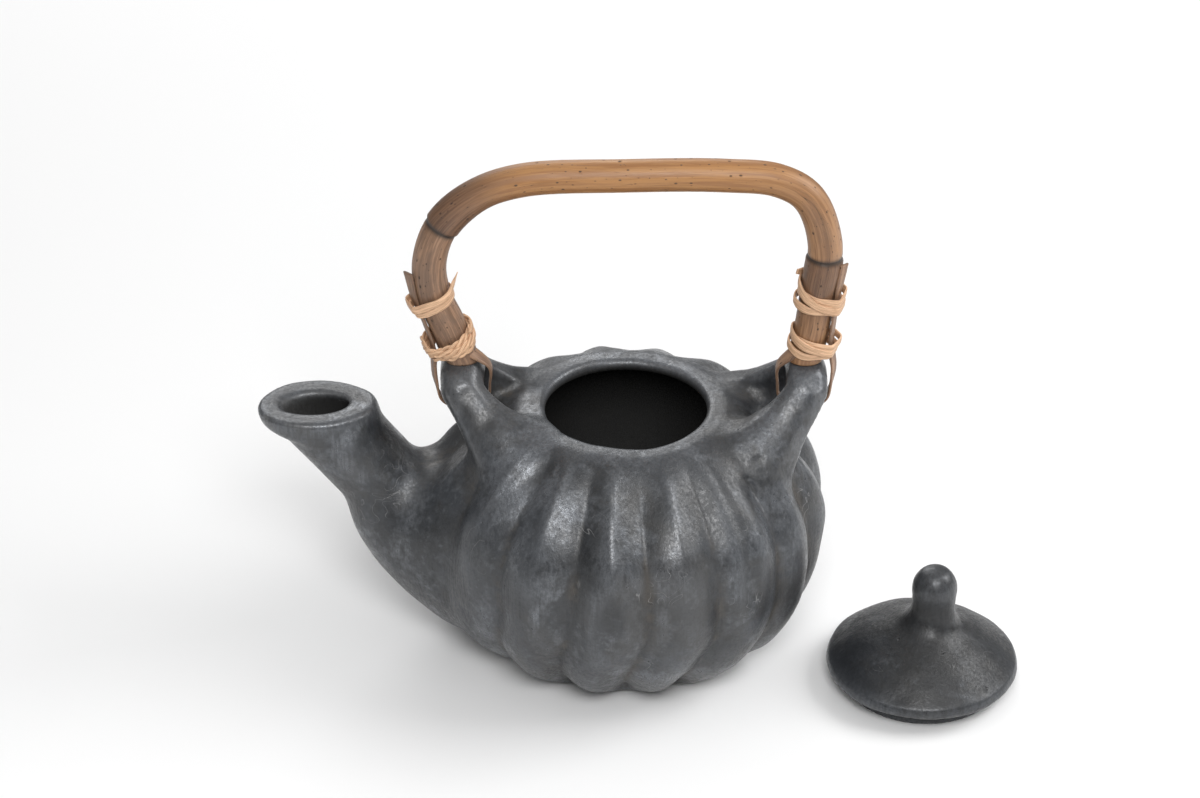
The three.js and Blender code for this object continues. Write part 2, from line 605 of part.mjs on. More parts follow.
const kettle = new THREE.Group();
kettle.add(makePot());
kettle.add(makeLid());
kettle.add(makeHandle());
kettle.add(makeTie("left_lower_tie", LEFT_LUG_X, LOWER_TIE_LEVEL, LOWER_TIE_TURNS));
kettle.add(makeTie("left_upper_tie", LEFT_LUG_X, UPPER_TIE_LEVEL, UPPER_TIE_TURNS));
kettle.add(makeTie("right_lower_tie", RIGHT_LUG_X, LOWER_TIE_LEVEL, LOWER_TIE_TURNS));
kettle.add(makeTie("right_upper_tie", RIGHT_LUG_X, UPPER_TIE_LEVEL, UPPER_TIE_TURNS));

export default kettle;
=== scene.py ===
# %% [markdown]
# A ribbed clay kettle with a bent cane handle, photographed from above its rim with its lid beside it.
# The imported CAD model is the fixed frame. Every visible piece is worked out here as a surface in millimetres,
# put into a mesh in metres, and rides on the CAD body that it belongs to.

# %% Load the frame and keep its box
import bpy
import math
import numpy as np
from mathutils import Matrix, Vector


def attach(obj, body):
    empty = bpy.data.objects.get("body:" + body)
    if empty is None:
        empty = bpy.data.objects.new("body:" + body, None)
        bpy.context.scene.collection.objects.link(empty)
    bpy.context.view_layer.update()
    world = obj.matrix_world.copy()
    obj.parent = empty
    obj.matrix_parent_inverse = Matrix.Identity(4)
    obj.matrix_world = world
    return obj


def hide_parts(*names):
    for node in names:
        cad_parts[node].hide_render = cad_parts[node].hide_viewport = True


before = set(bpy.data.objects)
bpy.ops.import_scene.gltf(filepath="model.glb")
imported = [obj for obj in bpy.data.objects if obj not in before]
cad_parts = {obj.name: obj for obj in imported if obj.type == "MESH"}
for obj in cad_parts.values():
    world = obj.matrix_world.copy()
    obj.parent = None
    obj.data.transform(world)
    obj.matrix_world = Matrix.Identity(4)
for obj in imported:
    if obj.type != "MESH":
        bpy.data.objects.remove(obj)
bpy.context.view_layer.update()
MM = 0.001


def add_object(name, data):
    """A new object in the scene."""
    piece = bpy.data.objects.new(name, data)
    bpy.context.scene.collection.objects.link(piece)
    return piece


# %% [markdown]
# The camera comes first, because every likeness is judged through it. A product photographer stands back and
# uses a long lens, so the lip of the mouth is a wide oval and the handle hardly narrows towards the top. The
# camera looks down by 32 degrees, straight across the pot, and has the pot a little left of the middle.

# %% Camera
CAMERA_TILT = math.radians(32)
CAMERA_DISTANCE = 1360
CAMERA_LENS = 102
CAMERA_AIM = (-10.4, 0, 107)
CAMERA_LIFT = 1.6
CAMERA_NEAR = 0.05

backward = np.array([0, -math.cos(CAMERA_TILT), math.sin(CAMERA_TILT)])
upward = np.array([0, math.sin(CAMERA_TILT), math.cos(CAMERA_TILT)])
camera = add_object("camera", bpy.data.cameras.new("camera"))
camera.data.lens = CAMERA_LENS
camera.data.clip_start = CAMERA_NEAR
camera.rotation_euler = (math.pi / 2 - CAMERA_TILT, 0, 0)
camera.location = (CAMERA_AIM + CAMERA_DISTANCE * backward + CAMERA_LIFT * upward) * MM
bpy.context.scene.camera = camera
print("camera at", tuple(round(c, 3) for c in camera.location))

# %% [markdown]
# Wet clay is pushed together, so where the spout and the lugs meet the bowl there is no edge, only a soft
# hollow that a thumb has smoothed. Two meshes that cut through each other can't show that. So the pot is
# described as a field: a number for each point in space that is below zero inside the clay. Two shapes are
# joined with a smooth minimum of their fields, which leaves such a fillet. The mesh lies where it is zero.

# %% Helpers for fields and lines
def smoothstep(x, low, high):
    """Rises from 0 at low to 1 at high as 3t^2 - 2t^3."""
    t = np.clip((x - low) / (high - low), 0, 1)
    return t * t * (3 - 2 * t)


def soft_min(a, b, reach):
    """The smaller of a and b, rounded where they are within reach of each other."""
    overlap = np.maximum(reach - np.abs(a - b), 0) / reach
    return np.minimum(a, b) - overlap * overlap * reach / 4


def soft_max(a, b, reach):
    """The larger of a and b, rounded where they are within reach of each other."""
    return -soft_min(-a, -b, reach)


def unit(vectors, least=0):
    """Each vector over its own length."""
    return vectors / (np.linalg.norm(vectors, axis=1, keepdims=True) + least)


def lengths(line):
    """How far along a line each of its points is: the running sum of its steps."""
    return np.concatenate([[0], np.cumsum(np.linalg.norm(np.diff(line, axis=0), axis=1))])


def read_between(place, rows, table):
    """The columns of a table, each read at a place between its rows."""
    return np.column_stack([np.interp(place, rows, column) for column in table.T])


def bezier(p0, p1, p2, p3, count):
    """Points of a cubic Bezier curve, each the sum of four corner points weighted by t^n (1-t)^(3-n)."""
    t = np.linspace(0, 1, count)[:, None]
    return (1 - t) ** 3 * p0 + 3 * t * (1 - t) ** 2 * p1 + 3 * t * t * (1 - t) * p2 + t ** 3 * p3


def wobble(points, wavelength, seed, waves=14):
    """A smooth uneven value between about -1 and 1: a sum of plane waves in seeded directions."""
    random = np.random.default_rng(seed)
    ways = unit(random.normal(size=(waves, points.shape[-1])))
    spans = wavelength * random.uniform(0.7, 1.6, waves)
    phases = random.uniform(0, 2 * np.pi, waves)
    angle = points @ (2 * np.pi * ways / spans[:, None]).T + phases
    return np.sin(angle).sum(-1) / math.sqrt(waves)


# %% [markdown]
# The bowl starts as a turned outline, a flat foot, a full belly and a nearly level shoulder. Its distance field
# in the plane of radius and height is worked out once, on a fine table, and read back between the table's
# points. The sixteen ribs are pressed in by hand: the outline is taken inward by a depth that is nothing on a
# crest and greatest in a valley, and the valleys stand at uneven angles, as they do in the photograph.

# %% Bowl outline
POT_HEIGHT = 107
BELLY = np.array([81.5, 58])
FOOT = np.array([46.5, 0])
RIM = np.array([40, POT_HEIGHT])
MOUTH_RADIUS = 32.5
CLAY_WALL = 5.5
CORNER_RADIUS = 2.5
BASE_THICKNESS = 7
UPPER_FULLNESS = 27
LOWER_FULLNESS = 34
BASE_FLARE = (19, 6)
SHOULDER_REACH = (20, -5.5)
RIB_DEPTH = 5
PAST_AXIS = -60
ABOVE_MOUTH = 138
OUTLINE_POINTS = 40


def bowl_outline(foot, belly, rim):
    """Foot to belly to rim as two Bezier curves that meet upright at the belly."""
    lower = bezier(foot, foot + BASE_FLARE, belly - (0, LOWER_FULLNESS), belly, OUTLINE_POINTS)
    upper = bezier(belly, belly + (0, UPPER_FULLNESS), rim + SHOULDER_REACH, rim, OUTLINE_POINTS)
    return np.vstack([lower, upper[1:]])


def signed_distance(points, polygon):
    """Distance to the nearest side of a closed polygon, counted below zero inside it (odd crossings)."""
    nearest = np.full(len(points), np.inf)
    inside = np.zeros(len(points), bool)
    for a, b in zip(polygon, np.roll(polygon, -1, axis=0)):
        side = b - a
        share = np.clip(((points - a) @ side) / (side @ side + 1e-12), 0, 1)
        nearest = np.minimum(nearest, np.linalg.norm(points - a - share[:, None] * side, axis=1))
        crosses = (a[1] > points[:, 1]) != (b[1] > points[:, 1])
        across = a[0] + (points[:, 1] - a[1]) * side[0] / (side[1] if side[1] else 1e-12)
        inside ^= crosses & (points[:, 0] < across)
    return np.where(inside, -nearest, nearest)


TABLE_STEP = 0.5
TABLE_RADII = np.arange(0, 130, TABLE_STEP)
TABLE_LEVELS = np.arange(-14, 140, TABLE_STEP)


def make_table(*lines):
    """The signed distance to a polygon, given as lines, on the whole table of radii and levels."""
    grid = np.stack(np.meshgrid(TABLE_RADII, TABLE_LEVELS, indexing="ij"), -1)
    return signed_distance(grid.reshape(-1, 2), np.vstack(lines)).reshape(grid.shape[:2])


def read_table(table, radius, level):
    """The table's value between its points, weighted by the nearness of the four around it."""
    i = np.clip(radius / TABLE_STEP, 0, len(TABLE_RADII) - 1.001)
    j = np.clip((level - TABLE_LEVELS[0]) / TABLE_STEP, 0, len(TABLE_LEVELS) - 1.001)
    i0, j0 = i.astype(int), j.astype(int)
    u, v = i - i0, j - j0
    low = table[i0, j0] * (1 - v) + table[i0, j0 + 1] * v
    high = table[i0 + 1, j0] * (1 - v) + table[i0 + 1, j0 + 1] * v
    return low * (1 - u) + high * u


outside_line = bowl_outline(FOOT, BELLY, RIM)
bowl_table = make_table(outside_line, [[PAST_AXIS, RIM[1]], [PAST_AXIS, 0]])
inside_line = bowl_outline(
    np.array([FOOT[0] - CLAY_WALL, BASE_THICKNESS]), BELLY - (RIB_DEPTH + CLAY_WALL, 0), RIM - (0, CLAY_WALL))
corner_turn = np.radians(np.linspace(270, 180, 9))
mouth_corner = (np.array([MOUTH_RADIUS, RIM[1] - CLAY_WALL]) + CORNER_RADIUS
                + CORNER_RADIUS * np.column_stack([np.cos(corner_turn), np.sin(corner_turn)]))
cavity_table = make_table(inside_line, mouth_corner, [
    [MOUTH_RADIUS, ABOVE_MOUTH], [PAST_AXIS, ABOVE_MOUTH], [PAST_AXIS, BASE_THICKNESS]])
print("bowl outline points", len(outside_line))

# %% Ribs
VALLEY_ANGLES = np.array([-62, -39, -16, 6, 28.5, 52, 70, 91, 111, 131, 155, 178, 203, 229, 250, 272])
FOOT_SHIFTS = np.array([-8, -8, -8, -5, -8, -2, 0, 0, 0, 0, 0, 0, 0, 0, 0, -4])
VALLEY_DEPTHS = np.array([3.8, 4.4, 5.0, 5.2, 5.2, 5.2, 4.6, 5.0, 4.4, 4.8, 4.6, 5.0, 4.6, 4.8, 4.0, 3.6])
LOBE_DROPS = np.array([0, 0, 0, 0, 0.3, 0.4, 0.5, 0.4, 0.3, 0, 0.2, 0, 0.3, 0, 0.2, 0])
RIBS = len(VALLEY_ANGLES)
LEAN_LEVELS = (52, 12)
SWAY = 0.7
SWAY_LENGTH = 13
VALLEY_SOFTNESS = 0.13
CREST_SOFTNESS = 0.1
ROOF_AT_BACK = 0.3
ROOF_MORE_IN_FRONT = 0.55
ROOF_LEVELS = (74, 96)
RIDGE_HEIGHT = 0.45
RIDGE_WIDTH = 0.06
RIDGE_LEVELS = (66, 92)
SHOULDER_RADII = (41, 61)
LOBE_DROP_LEVELS = (62, 30)
SHALLOW_ANGLE = 39.5
SHALLOW_WIDTH = 3.4
SHALLOW_DEPTH = 2.0
SHALLOW_LEVELS = (40, 72)


def rib_dip(x, y, level):
    """How far the bowl stands below its turned outline: lobes between the valley angles.

    The share u runs from 0 in one valley to 1 in the next. Round the belly a lobe is |sin(pi u)| with its
    foot rounded off. Towards the mouth it turns into a roof, one minus |2u - 1|, with a faint ridge on top.
    The dip is the valley's depth times one minus the lobe. The valleys lean to one side towards the foot."""
    angle = np.degrees(np.arctan2(x, -y))
    shift = np.interp(angle, VALLEY_ANGLES, FOOT_SHIFTS, period=360) * smoothstep(level, *LEAN_LEVELS)
    angle = angle - shift + SWAY * np.sin(level / SWAY_LENGTH + 3 * np.sin(np.radians(2 * angle)))
    edges = np.append(VALLEY_ANGLES - VALLEY_ANGLES[0], 360)
    lobe = np.interp((angle - VALLEY_ANGLES[0]) % 360, edges, np.arange(RIBS + 1))
    number = np.clip(lobe.astype(int), 0, RIBS - 1)
    u = lobe - number
    round_lobe = np.hypot(np.sin(np.pi * u), VALLEY_SOFTNESS) / np.hypot(1, VALLEY_SOFTNESS)
    roof = 1 - (np.hypot(2 * u - 1, CREST_SOFTNESS) - CREST_SOFTNESS)
    roofed = ROOF_AT_BACK + ROOF_MORE_IN_FRONT * smoothstep(np.abs(angle), 125, 90)
    arch = round_lobe + (roof - round_lobe) * roofed * smoothstep(level, *ROOF_LEVELS)
    depth = VALLEY_DEPTHS[number] * (1 - u) + VALLEY_DEPTHS[(number + 1) % RIBS] * u
    shoulder = np.where(level > BELLY[1], smoothstep(np.hypot(x, y), *SHOULDER_RADII), 1)
    ridge = RIDGE_HEIGHT * np.exp(-((u - 0.5) / RIDGE_WIDTH) ** 2) * smoothstep(level, *RIDGE_LEVELS)
    drop = LOBE_DROPS[number] * np.sin(np.pi * u) ** 2 * smoothstep(level, *LOBE_DROP_LEVELS)
    shallow = SHALLOW_DEPTH * np.exp(-((angle - SHALLOW_ANGLE) / SHALLOW_WIDTH) ** 2)
    dip = depth * (1 - arch) + drop - ridge * (roofed > 0.5) + shallow * smoothstep(level, *SHALLOW_LEVELS)
    return shoulder * smoothstep(level, 0, 10) * dip


# %% [markdown]
# The spout and the lugs are tubes along a line in space. For each point near such a tube, the share along the
# line is found first, then how far the point lies across it and up from it, and the field is how much larger
# that is than the tube's own oval there. The spout's sections turn level towards the lip, which is cut flat.

# %% Tubes along a line
def spline(points, count):
    """A centripetal Catmull-Rom curve through the points: each stretch blends its four nearest points."""
    points = np.array(points, float)
    points = np.vstack([2 * points[0] - points[1], points, 2 * points[-1] - points[-2]])
    knots = np.append(0, np.cumsum(np.linalg.norm(np.diff(points, axis=0), axis=1) ** 0.5))
    share = np.linspace(knots[1], knots[-2] - 1e-9, count)
    k = np.clip(np.searchsorted(knots, share, side="right") - 1, 1, len(points) - 3)
    t = share[:, None]
    near = [knots[k + i][:, None] for i in (-1, 0, 1, 2)]
    level = [points[k + i] for i in (-1, 0, 1, 2)]
    for lows, highs in (((0, 1, 2), (1, 2, 3)), ((0, 1), (2, 3)), ((1,), (2,))):
        level = [((near[high] - t) * level[i] + (t - near[low]) * level[i + 1]) / (near[high] - near[low])
                 for i, (low, high) in enumerate(zip(lows, highs))]
    return level[0]


def even_line(points, count):
    """The same curve with its points an equal length apart."""
    fine = spline(points, 40 * len(points))
    length = lengths(fine)
    return read_between(np.linspace(0, length[-1], count), length, fine)


def directions(line):
    """The unit direction of a line at each of its points."""
    return unit(np.gradient(line, axis=0))


def oval_field(u, v, a, b):
    """About the distance outside an oval with half axes a and b, from how many times larger (u, v) is."""
    times = np.sqrt((u / a) ** 2 + (v / b) ** 2) + 1e-9
    slope = np.sqrt((u / a ** 2) ** 2 + (v / b ** 2) ** 2) + 1e-9
    return np.where(times < 0.2, (times - 1) * np.minimum(a, b), (times - 1) * times / slope)


# %% Spout
LIP_CENTRE = (-124.2, 0, 107.5)
LIP_TILT = math.radians(3)
LIP_SIZE = (46, 33)
LIP_WALLS = (9.6, 9.2)
LIP_EDGE = 2.6
LIP_FLARE = 3
BORE_FLARE = 1.8
BORE_SHIFT = 1.4
NECK = (-103, 0, 78.2)
NECK_DIAMETER = 34
NECK_WALL = 7
NECK_SHARE = 0.72
ROOT = (-62, 0, 45)
ROOT_DIAMETER = 76
ROOT_WALL = 14
COLLAR_BOTTOM = 98.5
COLLAR_INSET = 0.3
COLLAR_BLEND = 5
SPOUT_STATIONS = 90

knee = (ROOT[0] + 0.68 * (NECK[0] - ROOT[0]), 0, ROOT[2] + 0.45 * (NECK[2] - ROOT[2]))
spout_line = spline([(ROOT[0] + 30, 0, ROOT[2] - 6), ROOT, knee, NECK, LIP_CENTRE], SPOUT_STATIONS)[:, [0, 2]]
spout_rows = np.arange(SPOUT_STATIONS)
spout_share = np.linspace(0, 1, SPOUT_STATIONS)
to_lip = smoothstep(spout_share, NECK_SHARE, 1)


def spout_sections(root, neck, lip_long, lip_wide, flare):
    """Half axes along the spout: root to neck, then a flare to the lip's oval, later for a larger power."""
    tube = neck + (root - neck) * (1 - smoothstep(spout_share, 0.2, NECK_SHARE))
    return np.column_stack([tube + (lip - tube) * to_lip ** flare for lip in (lip_long, lip_wide)]) / 2


spout_outside = spout_sections(ROOT_DIAMETER, NECK_DIAMETER, *LIP_SIZE, LIP_FLARE)
spout_bore = spout_sections(
    ROOT_DIAMETER - 2 * ROOT_WALL, NECK_DIAMETER - 2 * NECK_WALL,
    LIP_SIZE[0] - 2 * LIP_WALLS[0], LIP_SIZE[1] - 2 * LIP_WALLS[1], BORE_FLARE,
)
spout_along = directions(spout_line)
level_turn = to_lip[:, None] ** 1.3
square = spout_along[:, ::-1] * (1, -1)
lip_across = np.array([math.cos(LIP_TILT), math.sin(LIP_TILT)])
spout_across = unit(square * (1 - level_turn) + lip_across * level_turn)
spout_normal = spout_across[:, ::-1] * (-1, 1)


def spout_place(flat):
    """The station of the section plane through each point of the XZ plane, and the offset across it there."""
    heights = flat @ spout_normal.T - (spout_line * spout_normal).sum(1)
    crossing = (heights[:, :-1] >= 0) & (heights[:, 1:] < 0)
    away = np.abs(flat @ spout_across.T - (spout_line * spout_across).sum(1))[:, :-1]
    every = np.arange(len(flat))
    row = np.argmin(np.where(crossing, away, 1e6), axis=1)
    found = crossing[every, row]
    row = np.where(found, row, np.where(heights[:, -1] >= 0, SPOUT_STATIONS - 2, 0))
    first, second = heights[every, row], heights[every, row + 1]
    place = row + np.where(found, first / (first - second + 1e-9), np.where(row > 0, 1.0, 0.0))
    offset = flat - read_between(place, spout_rows, spout_line)
    return place, (offset * read_between(place, spout_rows, spout_across)).sum(1)


def spout_fields(points):
    """The fields of the spout's outside and of its bore: ovals in the section planes, cut at both ends.

    Under the lip the outside also has an upright oval collar."""
    x, y, z = points.T
    flat = points[:, [0, 2]]
    place, across = spout_place(flat)
    from_root = (spout_line[0] - flat) @ spout_normal[0]
    past_lip = (flat - spout_line[-1]) @ spout_normal[-1]
    fields = []
    for sections, shift in ((spout_outside, 0), (spout_bore, BORE_SHIFT)):
        moved = across + shift * smoothstep(place / (SPOUT_STATIONS - 1), NECK_SHARE, 1)
        tube = oval_field(moved, y, *read_between(place, spout_rows, sections).T)
        fields.append(soft_max(tube, from_root, 2))
    collar = oval_field(x - LIP_CENTRE[0], y, LIP_SIZE[0] / 2 - COLLAR_INSET, LIP_SIZE[1] / 2 - COLLAR_INSET)
    collar = soft_max(collar, COLLAR_BOTTOM - z, COLLAR_BLEND)
    return soft_max(soft_min(fields[0], collar, COLLAR_BLEND), past_lip, LIP_EDGE), fields[1]


# %% Lugs
LUG_PLACES = (-65, 71)
LUG_ARCH_RADIUS = 14
LUG_WIDTH = 19.3
LUG_THICKNESS = 12
LUG_TOP_RISE = 22.5
LUG_LEANS = {-65: (15, 14.5), 71: (16, 17)}
LUG_LEAN_BENDS = (1.15, 1.02)
LUG_ROOT_SPREAD = 20
LUG_ROOT_SINK = 9
LUG_ROOT_FLARES = (7.5, 5)
LUG_ROUND_ANGLE = math.radians(44)
LUG_CUTS = ((52, 1.2), (112, 1.4), (160, 1.0), (205, 1.2), (330, 1.1))
LUG_CUT_TWIST = 0.006
LUG_CUT_SOFTNESS = 1.2
LUG_STATIONS = 141
PIVOT_LEVEL = POT_HEIGHT + LUG_TOP_RISE - LUG_THICKNESS / 2 - LUG_ARCH_RADIUS


def lug_line(lug_x):
    """An arc of 44 degrees each way over the pivot, then legs that lean in and spread down to the shoulder."""
    arc = LUG_ARCH_RADIUS * LUG_ROUND_ANGLE
    arc_y = LUG_ARCH_RADIUS * math.sin(LUG_ROUND_ANGLE)
    arc_z = PIVOT_LEVEL + LUG_ARCH_RADIUS * math.cos(LUG_ROUND_ANGLE)
    shoulder = outside_line[OUTLINE_POINTS - 1:][::-1]
    front_lean, back_lean = LUG_LEANS[lug_x]
    root_radius = math.hypot(abs(lug_x) - (front_lean + back_lean) / 2, LUG_ROOT_SPREAD)
    root_z = np.interp(root_radius, shoulder[:, 0], shoulder[:, 1])
    leg = math.hypot(LUG_ROOT_SPREAD - arc_y, arc_z - root_z)
    reach = arc + leg + LUG_ROOT_SINK
    place = np.linspace(-reach, reach, LUG_STATIONS)
    past = np.maximum(np.abs(place) - arc, 0) / leg
    on_arc = np.clip(place, -arc, arc) / LUG_ARCH_RADIUS
    lean = np.where(place < 0, front_lean, back_lean) * past ** np.where(place < 0, *LUG_LEAN_BENDS)
    x = lug_x - np.sign(lug_x) * lean
    y = LUG_ARCH_RADIUS * np.sin(on_arc) + np.sign(place) * past * (LUG_ROOT_SPREAD - arc_y)
    z = PIVOT_LEVEL + LUG_ARCH_RADIUS * np.cos(on_arc) + past * (root_z - arc_z)
    flare = np.where(place < 0, *LUG_ROOT_FLARES) * smoothstep(np.abs(place), arc, reach) ** 1.5
    return np.column_stack([x, y, z]), flare, place


def lug_field(points, lug_x):
    """The oval tube along a lug's line, with knife cuts. A point is measured at the line's nearest place."""
    line, flare, place = lug_line(lug_x)
    along = directions(line)
    across = unit(np.array([1.0, 0, 0]) - along * along[:, :1])
    up = np.cross(along, across)
    near = ((points[:, None, :] - line) ** 2).sum(-1).argmin(1)
    offset = points - line[near]
    run = (offset * along[near]).sum(1)
    offset = offset - run[:, None] * along[near]
    grow = np.interp(place[near] + run, place, flare)
    u, v = (offset * across[near]).sum(1), (offset * up[near]).sum(1)
    half_wide, half_thick = LUG_WIDTH / 2 + grow, LUG_THICKNESS / 2 + grow
    tube = oval_field(u, v, half_wide, half_thick)
    for angle, depth in LUG_CUTS:
        twist = math.radians(angle) + LUG_CUT_TWIST * place[near]
        reach = np.hypot(half_wide * np.cos(twist), half_thick * np.sin(twist))
        tube = soft_max(tube, u * np.cos(twist) + v * np.sin(twist) - reach + depth, LUG_CUT_SOFTNESS)
    return soft_max(tube, np.abs(place[near] + run) - place[-1], 1)


# %% [markdown]
# Now the whole pot can be asked one question: is this point in the clay? The bowl, the spout and the lugs are
# joined softly, the hollow is taken away with a softly rounded edge at the mouth and at the lip, and a slow
# uneven wave stands for the maker's hands.

# %% The field of the whole pot
POT_WAVES = ((0.35, 42, 3), (0.12, 15, 4))
SPOUT_UNEVENNESS = 0.7
SPOUT_BLEND = 15
BORE_BLEND = 4
LUG_BLEND = 8
LEAST_WALL = 3.5
MOUTH_EDGE = 3
OPEN_TOP = 60
FRONT_REACH = 80.3
SPOUT_BOX = ((-152, -55, -2), (-14, 55, 118))
LUG_BOXES = (((-90, -50, 58), (-26, 50, 134)), ((32, -50, 58), (94, 50, 134)))
DENTS = (
    (74.8, -13, 124, 3.0, 1.5), (73.5, -17.5, 118, 2.4, 0.6), (70, -21, 112, 2.6, 0.7),
    (-62.5, -16, 121, 2.6, 0.6), (-55, -22, 112, 3.0, 0.7), (-66, -20, 113, 3.4, 0.7),
    (52, -33, 101, 1.9, 0.9), (54.5, -36, 98.5, 1.7, 0.9), (57.5, -39, 95, 1.6, 0.8),
)


def unevenness(points, waves):
    """A sum of wobbles, each with its height, its wavelength and its seed."""
    return sum(height * wobble(points, wavelength, seed) for height, wavelength, seed in waves)


def within(points, box):
    """Which points lie in a box of two corners."""
    return ((points >= box[0]) & (points <= box[1])).all(1)


def clay_and_hollow(points):
    """The field of the clay with its hollow filled, a soft minimum of its parts, and that of the hollow."""
    x, y, z = points.T
    radius = np.hypot(x, y)
    uneven = unevenness(points, POT_WAVES)
    clay = read_table(bowl_table, radius, z) + rib_dip(x, y, z) + uneven * smoothstep(z, 0, 9)
    open_top = OPEN_TOP * smoothstep(radius, MOUTH_RADIUS + 3.5, MOUTH_RADIUS + 0.5)
    hollow = soft_max(read_table(cavity_table, radius, z), clay + LEAST_WALL - open_top, 2)
    near = within(points, SPOUT_BOX)
    outside, bore = spout_fields(points[near])
    clay[near] = soft_min(clay[near], outside + SPOUT_UNEVENNESS * uneven[near], SPOUT_BLEND)
    hollow[near] = soft_min(hollow[near], bore, BORE_BLEND)
    for lug_x, box in zip(LUG_PLACES, LUG_BOXES):
        near = within(points, box)
        clay[near] = soft_min(clay[near], lug_field(points[near], lug_x) + uneven[near], LUG_BLEND)
    for *middle, reach, depth in DENTS:
        away = ((points - middle) ** 2).sum(1) / reach ** 2
        clay += np.where(away < 6, depth * np.exp(-away), 0)
    return np.maximum(soft_max(clay, -y - FRONT_REACH, 2), -z), hollow


def pot_field(points):
    """Soft maximum of the filled clay and of its hollow turned inside out."""
    clay, hollow = clay_and_hollow(points)
    return soft_max(clay, -hollow, MOUTH_EDGE)


# %% [markdown]
# A surface net turns the field into a mesh. Space is cut into small cubes. Each cube that the surface passes
# through gets one point, the mean of the places where the surface cuts its edges, and each cube edge that is
# cut gets one four-sided face between the four cubes around it. The points are then slid along the field's
# slope until the field is zero there. Most of space is far from the surface, so the field is first asked at
# every fourth point each way, and at the points between only where it is small.

# %% Surface net
COARSE = 4
NEAR_SURFACE = 1.6 * COARSE


def surface_net(field, low, high, step):
    """Points and four-sided faces of the level where the field is zero."""
    axes = [np.arange(a, b + step, step) for a, b in zip(low, high)]
    grid = np.stack(np.meshgrid(*axes, indexing="ij"), -1)
    values = field(grid[::COARSE, ::COARSE, ::COARSE].reshape(-1, 3))
    values = values.reshape([-(-n // COARSE) for n in grid.shape[:3]])
    for axis, count in enumerate(grid.shape[:3]):
        nearest = np.minimum((np.arange(count) + COARSE // 2) // COARSE, values.shape[axis] - 1)
        values = np.take(values, nearest, axis)
    near = np.abs(values) < NEAR_SURFACE * step
    values[near] = field(grid[near])
    inside = values < 0
    cells = tuple(n - 1 for n in values.shape)
    total = np.zeros(cells + (3,))
    cuts = np.zeros(cells)
    for axis in range(3):
        a = np.moveaxis(values, axis, 0)
        share = np.where((a[:-1] < 0) != (a[1:] < 0), a[:-1] / (a[:-1] - a[1:] + 1e-12), np.nan)
        share = np.moveaxis(share, 0, axis)
        others = [i for i in range(3) if i != axis]
        for shift in ((0, 0), (0, 1), (1, 0), (1, 1)):
            window = [slice(None)] * 3
            for other, s in zip(others, shift):
                window[other] = slice(s, s + cells[other])
            part = share[tuple(window)]
            cut = ~np.isnan(part)
            cuts += cut
            total[..., axis] += np.where(cut, part, 0)
            for other, s in zip(others, shift):
                total[..., other] += cut * s
    used = cuts > 0
    number = np.full(cells, -1)
    number[used] = np.arange(used.sum())
    corner = np.stack(np.nonzero(used), -1)
    points = np.array([a[0] for a in axes]) + step * (corner + total[used] / cuts[used][:, None])
    faces = []
    for axis in range(3):
        first, second = [i for i in range(3) if i != axis]
        inner = [slice(1, -1)] * 3
        inner[axis] = slice(None)
        at = np.stack(np.nonzero(np.diff(inside, axis=axis)[tuple(inner)]), -1)
        at[:, [first, second]] += 1
        ring = []
        for i, j in ((0, 0), (1, 0), (1, 1), (0, 1)):
            cell = at.copy()
            cell[:, first] -= i
            cell[:, second] -= j
            ring.append(number[tuple(cell.T)])
        ring = np.stack(ring, -1)
        turn = inside[tuple(at.T)] != (axis == 1)
        faces.append(np.where(turn[:, None], ring, ring[:, ::-1]))
    return points, np.vstack(faces)


def slope_of(field, points, here, reach=0.05):
    """The field's slope along X, Y and Z, from its values here and a little further along each."""
    return np.stack([(field(points + step) - here) / reach for step in reach * np.eye(3)], -1)


def settle(field, points, faces, rounds=2, ease=0.5):
    """Slides points to the zero level, and between slides evens them out along the surface."""
    start, end = faces.ravel(), np.roll(faces, -1, axis=1).ravel()

    def gather(at_end, at_start):
        """The sum, for each point, of a number of each point that it shares an edge with."""
        return np.bincount(start, at_end, len(points)) + np.bincount(end, at_start, len(points))

    ones = np.ones(len(start))
    links = gather(ones, ones)[:, None]
    for turn in range(rounds):
        here = field(points)
        slope = slope_of(field, points, here)
        size = (slope ** 2).sum(1, keepdims=True) + 1e-9
        points = points - np.clip(here[:, None] * slope / size, -1, 1)
        if turn < rounds - 1:
            mean = np.stack([gather(column[end], column[start]) for column in points.T], -1) / links
            normal = slope / np.sqrt(size)
            move = mean - points
            points = points + ease * (move - (move * normal).sum(1, keepdims=True) * normal)
    return points


def store(piece, name, values):
    """Keeps one number for each point of a piece, for its material to read."""
    piece.data.attributes.new(name, "FLOAT", "POINT").data.foreach_set("value", np.asarray(values, np.float32))


def vectors_of(data, kind):
    """A vector for each point, read from a mesh's points or from one of its attributes."""
    values = np.zeros(3 * len(data), np.float32)
    data.foreach_get(kind, values)
    return values.reshape(-1, 3)


def make_mesh(name, points, faces, smooth=True):
    """Puts points in millimetres and their faces into a mesh object in metres, at the origin."""
    mesh = bpy.data.meshes.new(name)
    mesh.from_pydata((points * MM).tolist(), [], faces if isinstance(faces, list) else faces.tolist())
    mesh.polygons.foreach_set("use_smooth", np.full(len(mesh.polygons), smooth))
    mesh.update()
    return add_object(name, mesh)


